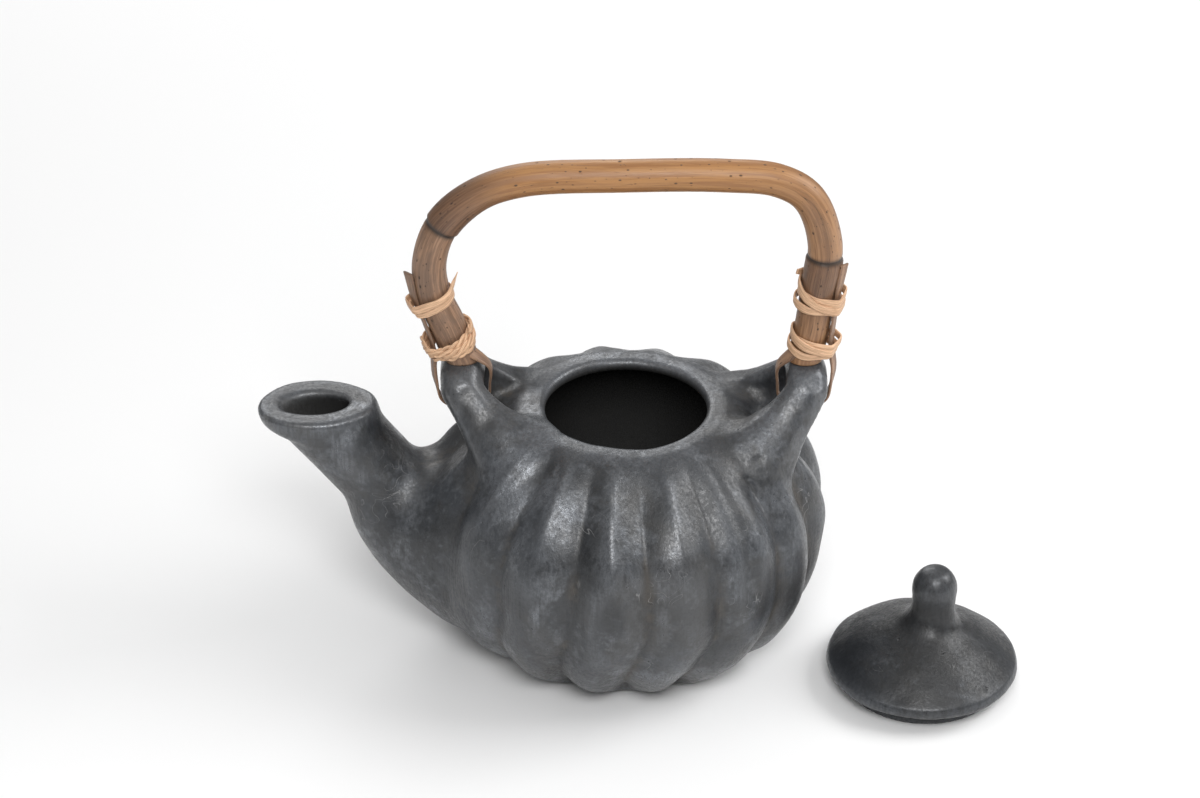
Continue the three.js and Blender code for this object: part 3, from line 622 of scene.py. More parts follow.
# %% The pot
POT_BOX = ((-150, -84, -2), (84, 84, 134))
NET_STEP = 1.25
INSIDE_SHARE = 0.73
INSIDE_DEPTH = 16
pot_points, pot_faces = surface_net(pot_field, *POT_BOX, NET_STEP)
pot_points = settle(pot_field, pot_points, pot_faces)
pot = make_mesh("clay_pot", pot_points, pot_faces)
on_hollow = (clay_and_hollow(pot_points)[0] < -2) & (pot_points[:, 2] < RIM[1] - INSIDE_DEPTH)
pot.vertex_groups.new(name="hidden").add(np.nonzero(on_hollow)[0].tolist(), 1, "REPLACE")
thin = pot.modifiers.new("thin", "DECIMATE")
thin.ratio = INSIDE_SHARE
thin.vertex_group = "hidden"
thinned = bpy.data.meshes.new_from_object(pot.evaluated_get(bpy.context.evaluated_depsgraph_get()))
pot.modifiers.clear()
pot.data = thinned
print("pot triangles", sum(len(p.vertices) - 2 for p in pot.data.polygons))
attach(pot, "pot_body")
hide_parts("pot")

# %% [markdown]
# The lid is thrown, then trimmed with a knife, so it is nearly round: a low cone with a thick edge, a flange
# underneath that drops into the mouth, and an egg-shaped knob that leans a little. It is a field too, the
# distance to a turned outline, with a few flat cuts round its edge and the same slow unevenness.

# %% Lid
LID_RADIUS = 38.8
LID_GAP = 6
LID_REACH = BELLY[0] + LID_RADIUS + LID_GAP
LID_STAND_ANGLE = math.radians(-18.2)
LID_PLACE = LID_REACH * np.array([math.cos(LID_STAND_ANGLE), math.sin(LID_STAND_ANGLE), 0])
LID_FLANGE_RADIUS = 31.8
LID_WALL = 5.5
LID_HEIGHT = 54.1
KNOB_LEAN = 3.4
LID_CUTS = ((-62, 1.1), (-45, 0.8), (60, 0.9), (118, 0.6), (171, 0.5), (214, 1.0))
LID_CUT_SOFTNESS = 1.2
LID_WAVES = ((0.26, 30, 7), (0.06, 9, 8))
LID_BOX = ((-42, -42, -2), (42, 42, 57))
LID_STEP = 0.95

lid_top = spline([(37.9, 11.8), (34, 15), (31, 17.4), (24, 22), (17, 25.6), (12, 28.8), (9.5, 32.6),
                  (8.8, 36.6), (8.9, 41), (9.1, 45), (8.2, 49), (5.2, 52.8), (0, LID_HEIGHT)], 90)
lid_under = [(0, 25), (12, 22.5), (LID_FLANGE_RADIUS - LID_WALL, 11), (LID_FLANGE_RADIUS - LID_WALL, 0),
             (LID_FLANGE_RADIUS, 0), (LID_FLANGE_RADIUS, 7.4), (36.6, 7.0), (38.3, 7.8), (LID_RADIUS, 9.2)]
lid_table = make_table(lid_top, [[-30, LID_HEIGHT], [-30, 25]], lid_under)


def lid_field(points):
    """Distance to the turned outline round a leaning axis, cut flat in places at the edge."""
    x, y, z = points.T
    x = x - KNOB_LEAN * smoothstep(z, 18, 36)
    field = read_table(lid_table, np.hypot(x, y), z)
    for degrees, depth in LID_CUTS:
        angle = math.radians(degrees)
        plane = (x * math.cos(angle) + y * math.sin(angle)) * 0.96 + (z - 10) * 0.28 - (LID_RADIUS - depth)
        field = soft_max(field, plane, LID_CUT_SOFTNESS)
    return soft_max(field + unevenness(points, LID_WAVES) * smoothstep(z, 2, 12), -z, 1)


lid_points, lid_faces = surface_net(lid_field, *LID_BOX, LID_STEP)
lid_points = settle(lid_field, lid_points, lid_faces)
lid = make_mesh("clay_lid", lid_points + LID_PLACE, lid_faces)
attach(lid, "lid_body")
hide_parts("lid")
print("lid points", len(lid_points))

# %% [markdown]
# The handle is one bent cane. A tube is a ring carried along a line: each ring stands square to the line, and
# its radius follows the cane, thinner along the grip, thicker at the feet, with a step and a dark line at each
# node, where a leaf sheath once sat. The feet are sawn to a saddle that fits the round top of a lug.

# %% Cane line
HALF_WIDTH = 77
HANDLE_CORNER = 27
LEG_BOW = 9
SADDLE_LEVEL = POT_HEIGHT + LUG_TOP_RISE
GRIP_LEVEL = POT_HEIGHT + 103
FOOT_DEPTH = LUG_THICKNESS / 2
CANE_RADIUS = 6.5
CANE_FOOT_RADIUS = 7
CANE_STATIONS = 900
NODE_POINTS = ((-71.2, 187.6), (77.2, 174.7))


def leg_level(share):
    """A level on the way from the saddle to the grip."""
    return SADDLE_LEVEL + share * (GRIP_LEVEL - SADDLE_LEVEL)


def corner_point(side, inward, down):
    """A point of a rounded corner, from how many corner lengths it lies inward and below the grip."""
    return side * (HALF_WIDTH - inward * HANDLE_CORNER), GRIP_LEVEL - down * HANDLE_CORNER


left_x, right_x = LUG_PLACES
cane_line = even_line([(x, 0, z) for x, z in (
    (left_x, SADDLE_LEVEL - FOOT_DEPTH),
    (left_x - 0.62 * LEG_BOW, leg_level(0.16)),
    (1 - HALF_WIDTH, leg_level(0.36)),
    corner_point(-1, 0, 1.4),
    corner_point(-1, 0.2, 0.8),
    corner_point(-1, 0.7, 0.32),
    corner_point(-1, 1.35, 0.08),
    (0, GRIP_LEVEL),
    corner_point(1, 1.45, 0),
    corner_point(1, 0.7, 0.08),
    corner_point(1, 0.26, 0.36),
    corner_point(1, 0, 1.1),
    (HALF_WIDTH - 2, leg_level(0.36)),
    (right_x + 0.25 * LEG_BOW, leg_level(0.14)),
    (right_x, SADDLE_LEVEL - FOOT_DEPTH),
)], CANE_STATIONS)
cane_length = float(lengths(cane_line)[-1])
node_shares = [np.linalg.norm(cane_line[:, [0, 2]] - point, axis=1).argmin() / (CANE_STATIONS - 1)
               for point in NODE_POINTS]
print("cane length", round(cane_length, 1), "mm, nodes at", [round(float(n), 3) for n in node_shares])


def on_line(line, share):
    """Points and directions of an evenly spaced line at shares of its length."""
    place = np.clip(share, 0, 1) * (len(line) - 1)
    rows = np.arange(len(line))
    return read_between(place, rows, line), unit(read_between(place, rows, directions(line)))


# %% Cane
CANE_RINGS = 420
CANE_SIDES = 48
SADDLE_CLEARANCE = 0.35
SHEATH_HEIGHT = 0.55
SHEATH_LENGTH = 26
NODE_GROOVE = 0.35
CAP_SHARE = 0.02


def sheath_at(past, full, end):
    """A sheath that starts steeply at its node, is whole as far as full and has died away at end."""
    return smoothstep(past, -0.5, 0.9) * (1 - smoothstep(past, full, end))


def cane_radius(share):
    """Foot to grip radius, plus at each node a groove and a sheath that stands up and dies away."""
    radius = CANE_RADIUS + (CANE_FOOT_RADIUS - CANE_RADIUS) * smoothstep(np.abs(share - 0.5), 0.2, 0.4)
    for place in node_shares:
        past = (share - place) * cane_length
        radius = radius + SHEATH_HEIGHT * sheath_at(past, 4, SHEATH_LENGTH)
        radius = radius - NODE_GROOVE * np.exp(-(past / 0.7) ** 2)
    return radius


def saddle_level(x, y, lug_x):
    """Height of the lug's round top over (x, y): an arch of an oval section, with a little room."""
    u = np.clip((x - lug_x) / (LUG_WIDTH / 2), -0.98, 0.98)
    arch = LUG_ARCH_RADIUS + LUG_THICKNESS / 2 * np.sqrt(1 - u * u) + SADDLE_CLEARANCE
    return PIVOT_LEVEL + np.sqrt(np.maximum(arch ** 2 - y ** 2, 1))


def tube_faces(rings, sides):
    """Four-sided faces between neighbouring rings of points."""
    row, column = np.meshgrid(np.arange(rings - 1), np.arange(sides), indexing="ij")
    a, b = row * sides + column, row * sides + (column + 1) % sides
    return np.stack([a, b, b + sides, a + sides], -1).reshape(-1, 4)


def make_tube(name, stacks, places):
    """Stacks of rings as one closed mesh. Each point keeps its place on the unbent piece, in millimetres."""
    points, faces, spots, start = [], [], [], 0
    for rings, straight in zip(stacks, places):
        count, sides = rings.shape[:2]
        caps = [end.mean(0) + CAP_SHARE * (end - end.mean(0)) for end in (rings[0], rings[-1])]
        points.append(np.concatenate([[caps[0]], rings, [caps[1]]]).reshape(-1, 3))
        spots.append(np.concatenate([straight[:1], straight, straight[-1:]]).reshape(-1, 3))
        faces += (tube_faces(count + 2, sides) + start).tolist()
        faces.append([start + i for i in range(sides)][::-1])
        start += (count + 2) * sides
        faces.append([start - sides + i for i in range(sides)])
    piece = make_mesh(name, np.vstack(points), faces)
    place = piece.data.attributes.new("straight", "FLOAT_VECTOR", "POINT")
    place.data.foreach_set("vector", np.vstack(spots).astype(np.float32).ravel())
    return piece


def cane_rings():
    """A ring for each share of the line. Near a foot the rings bend until the last one is the saddle's cut."""
    share = np.linspace(0, 1, CANE_RINGS)
    turn = np.linspace(0, 2 * np.pi, CANE_SIDES, endpoint=False)
    centre, along = on_line(cane_line, share)
    out = unit(np.cross(along, [0, 1, 0]))
    circle = np.cos(turn)[None, :, None] * out[:, None] + np.sin(turn)[None, :, None] * np.array([0, 1.0, 0])
    run, cosine, sine = np.broadcast_arrays(share[:, None] * cane_length, np.cos(turn), np.sin(turn))
    radius = cane_radius(share)[:, None] + 0.1 * wobble(np.stack([run / 30, cosine, sine], -1), 2.2, 11)
    rings = centre[:, None] + radius[..., None] * circle
    for lug_x, near, last in ((left_x, share < 0.12, -1), (right_x, share > 0.88, 0)):
        part = rings[near]
        top, low = part[last][:, 2], part[..., 2].min(0)
        cut = saddle_level(part[..., 0], part[..., 1], lug_x)
        part[..., 2] = cut + (part[..., 2] - low) / (top - low) * (top - cut)
        rings[near] = part
    return rings, np.stack([run, CANE_RADIUS * cosine, CANE_RADIUS * sine], -1)


rings, straight = cane_rings()
cane = make_tube("cane", [rings], [straight])
cane_run = vectors_of(cane.data.attributes["straight"].data, "vector")[:, 0]
past_nodes = [cane_run - share * cane_length for share in node_shares]
store(cane, "sheath", np.max([sheath_at(past, 8, SHEATH_LENGTH + 16) for past in past_nodes], 0))
store(cane, "ring", np.max([np.exp(-((past + 0.1) / 1.2) ** 2) for past in past_nodes], 0))
leg_grey = smoothstep(np.abs(cane_run / cane_length - 0.5), 0.14, 0.3)
store(cane, "leg", leg_grey * (1 - 0.45 * smoothstep(cane_run / cane_length, 0.5, 0.7)))
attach(cane, "handle_body")
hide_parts("cane_handle")

# %% [markdown]
# At each foot a strip of the cane's own wall, a tongue, is left long. It goes down through the lug, under its
# arch and up the outside of the cane, where the rattan holds it. A ribbon is a flat oval carried along a line,
# and bent across its width where it is still part of the round wall.

# %% Ribbons
RIBBON_SQUARENESS = 0.6


def ribbon_rings(line, side, width, thickness, curl, sides=16):
    """Flat ovals along a line: the width along side, the thickness along the face, the width bent by curl."""
    along = directions(line)
    side = unit(side - (side * along).sum(1, keepdims=True) * along)
    face = np.cross(along, side)
    turn = np.linspace(0, 2 * np.pi, sides, endpoint=False)
    cosine, sine = (np.sign(wave) * np.abs(wave) ** RIBBON_SQUARENESS for wave in (np.cos(turn), np.sin(turn)))
    u = cosine * width[:, None] / 2
    v = sine * thickness[:, None] / 2 - curl[:, None] * u ** 2 / 2
    straight = np.stack([np.broadcast_to(lengths(line)[:, None], u.shape), u, v], -1)
    return line[:, None] + u[..., None] * side[:, None] + v[..., None] * face[:, None], straight


def leg_frame(lug_x, distance):
    """A point of one leg at a distance up from its foot, and the direction out from the bow there."""
    share = np.atleast_1d(np.asarray(distance, float)) / cane_length
    centre, along = on_line(cane_line, share if lug_x < 0 else 1 - share)
    up = along if lug_x < 0 else -along
    return centre, np.column_stack([up[:, 2], np.zeros(len(up)), -up[:, 0]]) * np.sign(lug_x)


# %% Tongues
TONGUE_WIDTH = 6.5
TONGUE_NECK_WIDTH = 5.5
TONGUE_THICKNESS = 1.2
TONGUE_CLEARANCE = 0.6
TONGUE_SAG = 10
TONGUE_TURN = math.radians(22)
TONGUE_END_TWIST = 0.5
TONGUE_STATIONS = 150
TONGUE_OFFSET = TONGUE_CLEARANCE + TONGUE_THICKNESS / 2


def tongue_points(lug_x, end_distance, end_offset, tightness):
    """Down the inner wall, under the lug and up the outer side, drifting a little to the front."""
    outward = np.sign(lug_x)
    reach = LUG_WIDTH / 2 + TONGUE_OFFSET
    middle = PIVOT_LEVEL + LUG_ARCH_RADIUS
    bottom = middle - LUG_THICKNESS / 2 - TONGUE_SAG - TONGUE_OFFSET
    slack = CANE_FOOT_RADIUS + TONGUE_OFFSET - tightness
    wall = CANE_FOOT_RADIUS - TONGUE_THICKNESS / 2

    def strip(distance, offset):
        centre, out = leg_frame(lug_x, FOOT_DEPTH + distance)
        radial = out[0] * math.cos(TONGUE_TURN) - (0, math.sin(TONGUE_TURN) * np.sign(offset), 0)
        return tuple(centre[0] + radial * offset)

    def beside(share, less, y, level):
        return lug_x + outward * (share * reach - less), y, level

    return [
        strip(11, 1.0 - wall), strip(4, 0.1 - wall), beside(-1, 0, -1.6, middle + 2),
        beside(-1, -0.1, -0.8, middle - 6), beside(-1, -0.9, -0.4, middle - 12.5),
        beside(-0.5, 0, 0, bottom + 0.8),
        (lug_x, 0, bottom), beside(0.45, 0, 0, bottom + 0.8), beside(1, 2, -0.4, middle - 13),
        beside(1, 0.1, -0.4, middle - 6), beside(1, -0.5, -1.0, middle + 1), strip(8, slack + 0.5),
        strip(18, slack), strip(30, slack), strip(end_distance, slack + end_offset),
    ]


def make_tongue(name, lug_x, end_distance, end_offset, end_width, tightness):
    """A ribbon whose root is as wide and as round as the wall it is split from."""
    line = even_line(tongue_points(lug_x, end_distance, end_offset, tightness), TONGUE_STATIONS)
    length = lengths(line)[-1]
    run = np.linspace(0, length, TONGUE_STATIONS)
    outward = np.sign(lug_x)
    width = TONGUE_NECK_WIDTH + 1.8 * (1 - smoothstep(run, 5, 20))
    width = width + (end_width - TONGUE_NECK_WIDTH) * smoothstep(run, length - 25, length)
    width = width * (1 + 0.04 * wobble(line, 14, 22))
    curl = -outward * (1 - smoothstep(run, 8, 18)) / CANE_FOOT_RADIUS
    thickness = TONGUE_THICKNESS * (1 + 0.12 * wobble(line, 9, 21))
    side = np.tile([0, 1.0, 0], (TONGUE_STATIONS, 1))
    outer = smoothstep(run, length - 62, length - 50) - (1 - smoothstep(run, 8, 20))
    end_turn = smoothstep(run, length - 22, length)
    side[:, 0] += outward * (math.tan(TONGUE_TURN) * outer + TONGUE_END_TWIST * end_turn)
    rings, straight = ribbon_rings(line, side, width, thickness, curl)
    piece = make_tube(name, [rings], [straight + (700 + 100 * outward, 0, 0)])
    for mask, level in (("sheath", 0), ("ring", 0), ("leg", 1)):
        store(piece, mask, np.full(len(piece.data.vertices), level))
    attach(piece, "handle_body")
    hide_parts("cane_handle")
    return piece


left_tongue = make_tongue("left_tongue", left_x, 41, 0.9, 5.6, 0.45)
right_tongue = make_tongue("right_tongue", right_x, 44, 0.2, 4.6, 0)

# %% [markdown]
# The lashings are strips split from a rattan vine, about 3 mm wide and under 1 mm thick, pulled tight while
# wet. A tight strip takes the shortest way round the round leg and the tongue beside it: round the cane, then
# straight to the tongue's corners and back. That loop is the outline of the smallest bulging shape that holds
# them, and its formula is short: in each direction it reaches as far as the furthest of three circles.

# %% Tie loop
TIE_WIDTH = 3.5
TIE_THICKNESS = 0.85
TIE_ROOM = 0.28
TIE_SHARPNESS = 2.4
TIE_HALF_TONGUE = (TONGUE_WIDTH - TONGUE_THICKNESS) / 2
LOOP_POINTS = 240


def tie_loop():
    """The loop's reach is a soft maximum of three circles' reaches: the cane and the tongue's two corners.

    In direction n the reach of a circle is centre . n + radius. The loop's point is the mean of the circles'
    own points in that direction, weighted to the furthest. It starts at the front and turns to the tongue."""
    turn = np.linspace(0, 2 * np.pi, LOOP_POINTS)
    normal = np.column_stack([np.sin(turn), -np.cos(turn)])
    half = TIE_HALF_TONGUE * np.array([math.sin(TONGUE_TURN), math.cos(TONGUE_TURN)])
    middle = (CANE_FOOT_RADIUS + TONGUE_OFFSET) * np.array([math.cos(TONGUE_TURN), -math.sin(TONGUE_TURN)])
    centres = np.array([(0, 0), middle + half, middle - half])
    radii = np.array([CANE_FOOT_RADIUS, TONGUE_THICKNESS / 2, TONGUE_THICKNESS / 2])
    radii = radii + TIE_ROOM + TIE_THICKNESS / 2
    reach = normal @ centres.T + radii
    share = np.exp(TIE_SHARPNESS * (reach - reach.max(1, keepdims=True)))
    share /= share.sum(1, keepdims=True)
    points = (share[..., None] * (centres + radii[:, None] * normal[:, None])).sum(1)
    length = lengths(points)
    return length / length[-1], np.column_stack([points, normal])


# %% [markdown]
# Along that loop each strip follows a few listed marks: how far round it is, in turns from the middle of
# the front, how high on the leg it lies there, and how many strips it lies on top of. A smooth curve through
# the marks makes the bands part on the inner side, cross on the front and run together over the tongue.

# %% Ties
TIE_RINGS_PER_MARK = 14
TIE_LAYER_GAP = 0.12
TURN_LENGTH = 46
TWIST_PITCH = 11
TWIST_RADIUS = 1.15
TWIST_RISE = 0.42
STRAND_WIDENING = 1.45
STUB_RINGS = 10
TIE_SEED = 31


def tie_path(lug_x, level, marks):
    """The strip's middle line and the way it faces, from marks of (turns, height, layer)."""
    marks = np.array(marks, float) * (TURN_LENGTH, 1, TIE_THICKNESS + TIE_LAYER_GAP)
    turns, height, lift = even_line(marks, TIE_RINGS_PER_MARK * len(marks)).T
    place = read_between((turns / TURN_LENGTH) % 1, *tie_loop())
    face = unit(place[:, 2:])
    out_by, back_by = (place[:, :2] + face * lift[:, None]).T
    centre, out = leg_frame(lug_x, FOOT_DEPTH + level + height)
    back = np.array([0, 1.0, 0])
    path = centre + (out * out_by[:, None] + back * back_by[:, None])
    return path, out * face[:, :1] + back * face[:, 1:]


def make_strip(path, away, seed, stub, pointed, strands=1):
    """A flat ribbon along the path, or a few narrow ones twisted round it, running out in a straight stub."""
    step = path[-1] - path[-4]
    step /= np.linalg.norm(step)
    tail = path[-1] + np.linspace(0.25, 1, STUB_RINGS)[:, None] * (step * stub + away[-1] * 0.12 * stub)
    path = np.vstack([path, tail])
    away = np.vstack([away, np.tile(away[-1], (STUB_RINGS, 1))])
    side = unit(np.cross(directions(path), away))
    narrow = 1 - pointed * smoothstep(np.linspace(0, 1, len(path)), 1 - TIE_RINGS_PER_MARK / len(path), 1)
    twisted = strands > 1
    stacks, places = [], []
    for strand in range(strands):
        turn = 2 * np.pi * (strand / strands + lengths(path) / TWIST_PITCH)
        offset = twisted * (TWIST_RADIUS * np.cos(turn) + 0.25 * wobble(path, 16, seed + strand))
        rise = twisted * TWIST_RISE * (1 + np.sin(turn))
        line = path + side * (offset * narrow)[:, None] + away * rise[:, None]
        thick = TIE_THICKNESS * (1 + 0.1 * wobble(path, 6, seed + 9 + strand)) * (0.4 + 0.6 * narrow)
        wide = TIE_WIDTH / strands * (STRAND_WIDENING if twisted else 1) * narrow
        wide = wide * (1 + 0.1 * wobble(path, 12, seed + 17))
        rings, straight = ribbon_rings(line, side, wide, thick, np.zeros(len(path)), 12)
        stacks.append(rings)
        places.append(straight + (40 * seed + 15 * strand, 0, 0))
    return stacks, places


# node, lug, level on the leg, stub length, how pointed it ends, strands, marks
TIES = (
    ("left_lower_tie", left_x, 8.5, 2.5, 0.6, 3, [
        (-0.45, -1.5, 0), (-0.25, -3.2, 0), (0, -3.6, 0), (0.25, -1.6, 0), (0.5, 1, 0), (0.75, 2.6, 0),
        (1, 0.2, 1), (1.25, -0.6, 1), (1.5, 1, 1), (1.75, 0.2, 1), (2, -1.4, 2), (2.25, 2.4, 1), (2.5, 3.6, 1),
        (2.8, 3.4, 1)]),
    ("left_upper_tie", left_x, 29, 7.5, 0.93, 1, [
        (0.55, 0.4, 0), (0.25, -1.4, 0), (0.1, -2.8, 0), (-0.05, -2.2, 0), (-0.25, -0.4, 0), (-0.5, 0.6, 0),
        (-0.75, 0.2, 1), (-0.9, -0.6, 1), (-1, 0.4, 1), (-1.12, 1.6, 1), (-1.22, 3.4, 0.6)]),
    ("right_lower_tie", right_x, 7, 1.5, 0.3, 1, [
        (-0.45, -1, 0), (-0.25, -1.5, 0.9), (-0.08, -3.6, 0), (0.1, -2.4, 0), (0.25, -1.4, 0), (0.5, 1, 0),
        (0.75, 4.6, 0.5), (0.87, 2.6, 1), (1, 0.2, 1), (1.12, -1, 1), (1.25, -0.6, 1), (1.5, 1.4, 1),
        (1.75, 1.8, 0), (1.9, 2.2, 0), (2.02, 1.4, 0), (2.14, 1.2, 1), (2.27, 2.6, 2), (2.5, 3.4, 1),
        (2.62, 2.6, 1)]),
    ("right_upper_tie", right_x, 27, 4.2, 0.25, 1, [
        (-0.45, -1.4, 0), (-0.25, -1.4, 1.2), (-0.08, -2.6, 0.3), (0.06, -2.2, 0), (0.16, -1.6, 0),
        (0.25, -1.2, 0), (0.5, 1, 0), (0.75, 6.2, 0.4), (0.87, 3.4, 1), (1, -0.4, 1), (1.12, -2, 1),
        (1.25, -1.2, 1), (1.5, 1.4, 1), (1.75, 2.6, 0), (1.9, 2.6, 0), (2.02, 1.6, 0), (2.14, 1.6, 1),
        (2.26, 4, 1), (2.5, 6, 1), (2.66, 8, 0.3)]),
)

ties = []
for number, (node, lug_x, level, stub, pointed, strands, marks) in enumerate(TIES):
    path, away = tie_path(lug_x, level, marks)
    tie = make_tube("rattan_" + node, *make_strip(path, away, TIE_SEED + number, stub, pointed, strands))
    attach(tie, "handle_body")
    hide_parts(node)
    ties.append(tie)
print("ties", [len(tie.data.vertices) for tie in ties])

# %% [markdown]
# Burnished and smoked clay is nearly black, but it isn't one colour. Where the polishing stone pressed it has a
# silvery sheen, in between it stays matt, and in the hollows ochre dust collects. The hollows are also darkened
# as painted shade, and the crests and edges are lightened to silver, partly as a painted highlight. So a few
# effects are made once as node groups: soft blotches, small specks, long streaks and fine scratches. Each one
# only puts out a mask. A material places it with its own sizes and lets the mask choose a colour, a roughness
# or a height.

# %% Node helpers
def math_step(operation, turned=False):
    """A sign of arithmetic that adds one Math node, with its two inputs in order or turned round."""
    def method(self, other=0.0):
        first, second = (other, self) if turned else (self, other)
        return node(self.tree, "Math", {0: first, 1: second}, operation=operation)
    return method


class Value:
    """The output of a node, with the signs of arithmetic for it."""

    def __init__(self, socket):
        self.socket = socket
        self.tree = socket.id_data

    __add__ = __radd__ = math_step("ADD")
    __mul__ = __rmul__ = math_step("MULTIPLY")
    __sub__ = math_step("SUBTRACT")
    __rsub__ = math_step("SUBTRACT", turned=True)
    __truediv__ = math_step("DIVIDE")
    __abs__ = math_step("ABSOLUTE")
    larger = math_step("MAXIMUM")
    is_under = math_step("LESS_THAN")

    def clamped(self):
        """The same sum, kept between 0 and 1."""
        self.socket.node.use_clamp = True
        return self


def node(tree, kind, inputs=None, out=0, **options):
    """An output of a new shader node. A Value given as an input is linked, anything else is set."""
    made = tree.nodes.new("ShaderNode" + kind)
    for option, value in options.items():
        setattr(made, option, value)
    for name, value in (inputs or {}).items():
        if isinstance(value, Value):
            tree.links.new(value.socket, made.inputs[name])
        else:
            made.inputs[name].default_value = value
    return Value(made.outputs[out])


def noise(vector, scale, detail=3, rough=0.55, bend=0.0):
    """Soft noise with patches of about 1/scale."""
    given = {"Vector": vector, "Scale": scale, "Detail": detail, "Roughness": rough, "Distortion": bend}
    return node(vector.tree, "TexNoise", given, "Fac")


def band(value, low, high, out_low=0.0, out_high=1.0):
    """Maps low..high smoothly to out_low..out_high."""
    given = {"Value": value, "From Min": low, "From Max": high, "To Min": out_low, "To Max": out_high}
    return node(value.tree, "MapRange", given, "Result", interpolation_type="SMOOTHSTEP")


def blend(share, a, b):
    """Colour a turning into colour b."""
    return node(share.tree, "Mix", {0: share, 6: a, 7: b}, 2, data_type="RGBA")


def stretched(vector, factors):
    """The vector with its three parts multiplied, which stretches a pattern."""
    return node(vector.tree, "VectorMath", {0: vector, 1: factors}, operation="MULTIPLY")


def kept(tree, name, out="Fac"):
    """What a piece keeps for each of its points."""
    return node(tree, "Attribute", out=out, attribute_name=name)


def grey(level, tint=0.0):
    """A grey colour, a little blue for a tint above nothing and a little brown below it."""
    return (level * (1 - tint), level, level * (1 + 1.6 * tint), 1)


# %% Shared effects
def blotches(vector, scale, low, high):
    """Large soft noise roughened by fine noise, cut to a mask between Low and High."""
    return band(noise(vector, scale, 4, 0.6, 0.6) + (noise(vector, scale * 9, 3, 0.6) - 0.5) * 0.35, low, high)


def specks(vector, scale, size, amount):
    """Cells of a Voronoi pattern: a speck lies where the distance to a cell's centre is under Size."""
    distance = node(vector.tree, "TexVoronoi", {"Vector": vector, "Scale": scale}, "Distance")
    cell = Value(distance.socket.node.outputs["Color"])
    red = node(vector.tree, "SeparateColor", {0: cell}, "Red")
    green = Value(red.socket.node.outputs["Green"])
    round_speck = (1 - distance / (size * (0.4 + green))).clamped()
    return band(round_speck, 0, 0.5) * red.is_under(amount)


def streaks(vector, scale, squeeze):
    """Noise on a vector that is squeezed along its first part, so its patches run long that way."""
    vector = stretched(vector, node(vector.tree, "CombineXYZ", {0: squeeze, 1: 1, 2: 1}))
    return noise(vector, scale, 2) * 0.6 + noise(vector, scale * 4.3, 3) * 0.4


def scratches(vector, scale, width, amount):
    """Fine lines: where stretched noise passes through one half, in places that a second noise allows."""
    thin = (1 - abs(noise(vector, scale, 1, 0.5, 1.5) - 0.5) / width).clamped()
    limit = 1 - amount
    return thin * band(noise(vector, scale * 0.6, 2), limit, limit + 0.08)


def make_group(pattern, **inputs):
    """A node group named after its pattern, with its inputs and one mask."""
    group = bpy.data.node_groups.new(pattern.__name__, "ShaderNodeTree")
    group.interface.new_socket("Vector", in_out="INPUT", socket_type="NodeSocketVector")
    for label, default in inputs.items():
        socket = group.interface.new_socket(label, in_out="INPUT", socket_type="NodeSocketFloat")
        socket.default_value = default
    group.interface.new_socket("Mask", in_out="OUTPUT", socket_type="NodeSocketFloat")
    given = group.nodes.new("NodeGroupInput").outputs
    result = group.nodes.new("NodeGroupOutput").inputs["Mask"]
    mask = pattern(*(Value(given[label]) for label in ("Vector", *inputs)))
    group.links.new(mask.socket, result)
    return group


EFFECTS = {
    "blotches": make_group(blotches, Scale=20, Low=0.45, High=0.6),
    "specks": make_group(specks, Scale=200, Size=0.2, Amount=0.4),
    "streaks": make_group(streaks, Scale=1, Squeeze=0.05),
    "scratches": make_group(scratches, Scale=60, Width=0.012, Amount=0.5),
}


def effect(name, vector, **values):
    """Places a shared effect in a material with its own values."""
    placed = vector.tree.nodes.new("ShaderNodeGroup")
    placed.node_tree = EFFECTS[name]
    vector.tree.links.new(vector.socket, placed.inputs["Vector"])
    for label, value in values.items():
        placed.inputs[label].default_value = value
    return Value(placed.outputs["Mask"])


def start_material(name):
    """A new material, its tree and its shader."""
    paint = bpy.data.materials.new(name)
    paint.use_nodes = True
    return paint, paint.node_tree, paint.node_tree.nodes["Principled BSDF"]


def link_finish(tree, shader, colour, rough, height, strength, distance):
    """Gives the shader its colour and roughness, and a bump of a height."""
    relief = node(tree, "Bump", {"Strength": strength, "Distance": distance, "Height": height})
    for label, value in (("Base Color", colour), ("Roughness", rough), ("Normal", relief)):
        tree.links.new(value.socket, shader.inputs[label])


# %% [markdown]
# The clay's masks from the shape come first. For each point of the pot and the lid the field is asked a little
# to each side along the surface. On a crest those places lie outside the clay, in a hollow they lie inside it,
# so their mean says how the surface bends. The small reach finds edges and scratched crests, which the stone
# polished and which are also painted lighter as a painted highlight. The wide reach finds valleys, which stayed
# dull and kept their dust and are painted darker as painted shade, and broad crests, which are painted lighter
# in part as a painted highlight.

# %% Bend of a surface
def bend_of(field, points, reach):
    """Mean field a reach away in six directions along the surface, over the reach: above zero on a crest."""
    normal = unit(slope_of(field, points, field(points)), 1e-9)
    first = unit(np.cross(normal, [0.31, 0.27, 0.91]), 1e-9)
    second = np.cross(normal, first)
    ways = [math.cos(turn) * first + math.sin(turn) * second for turn in np.arange(0, 2 * np.pi, np.pi / 3)]
    return sum(field(points + reach * way) for way in ways) / (6 * reach)


def store_bends(piece, field, points, reaches, edge, valley_end, crest_end):
    """Keeps three masks: sharp edges, from the small reach, and valleys and crests, from the wide one."""
    bend = bend_of(field, points, reaches[1])
    store(piece, "edge", smoothstep(bend_of(field, points, reaches[0]), *edge))
    store(piece, "valley", smoothstep(-bend, -0.02, valley_end))
    store(piece, "crest", smoothstep(bend, 0.05, crest_end))


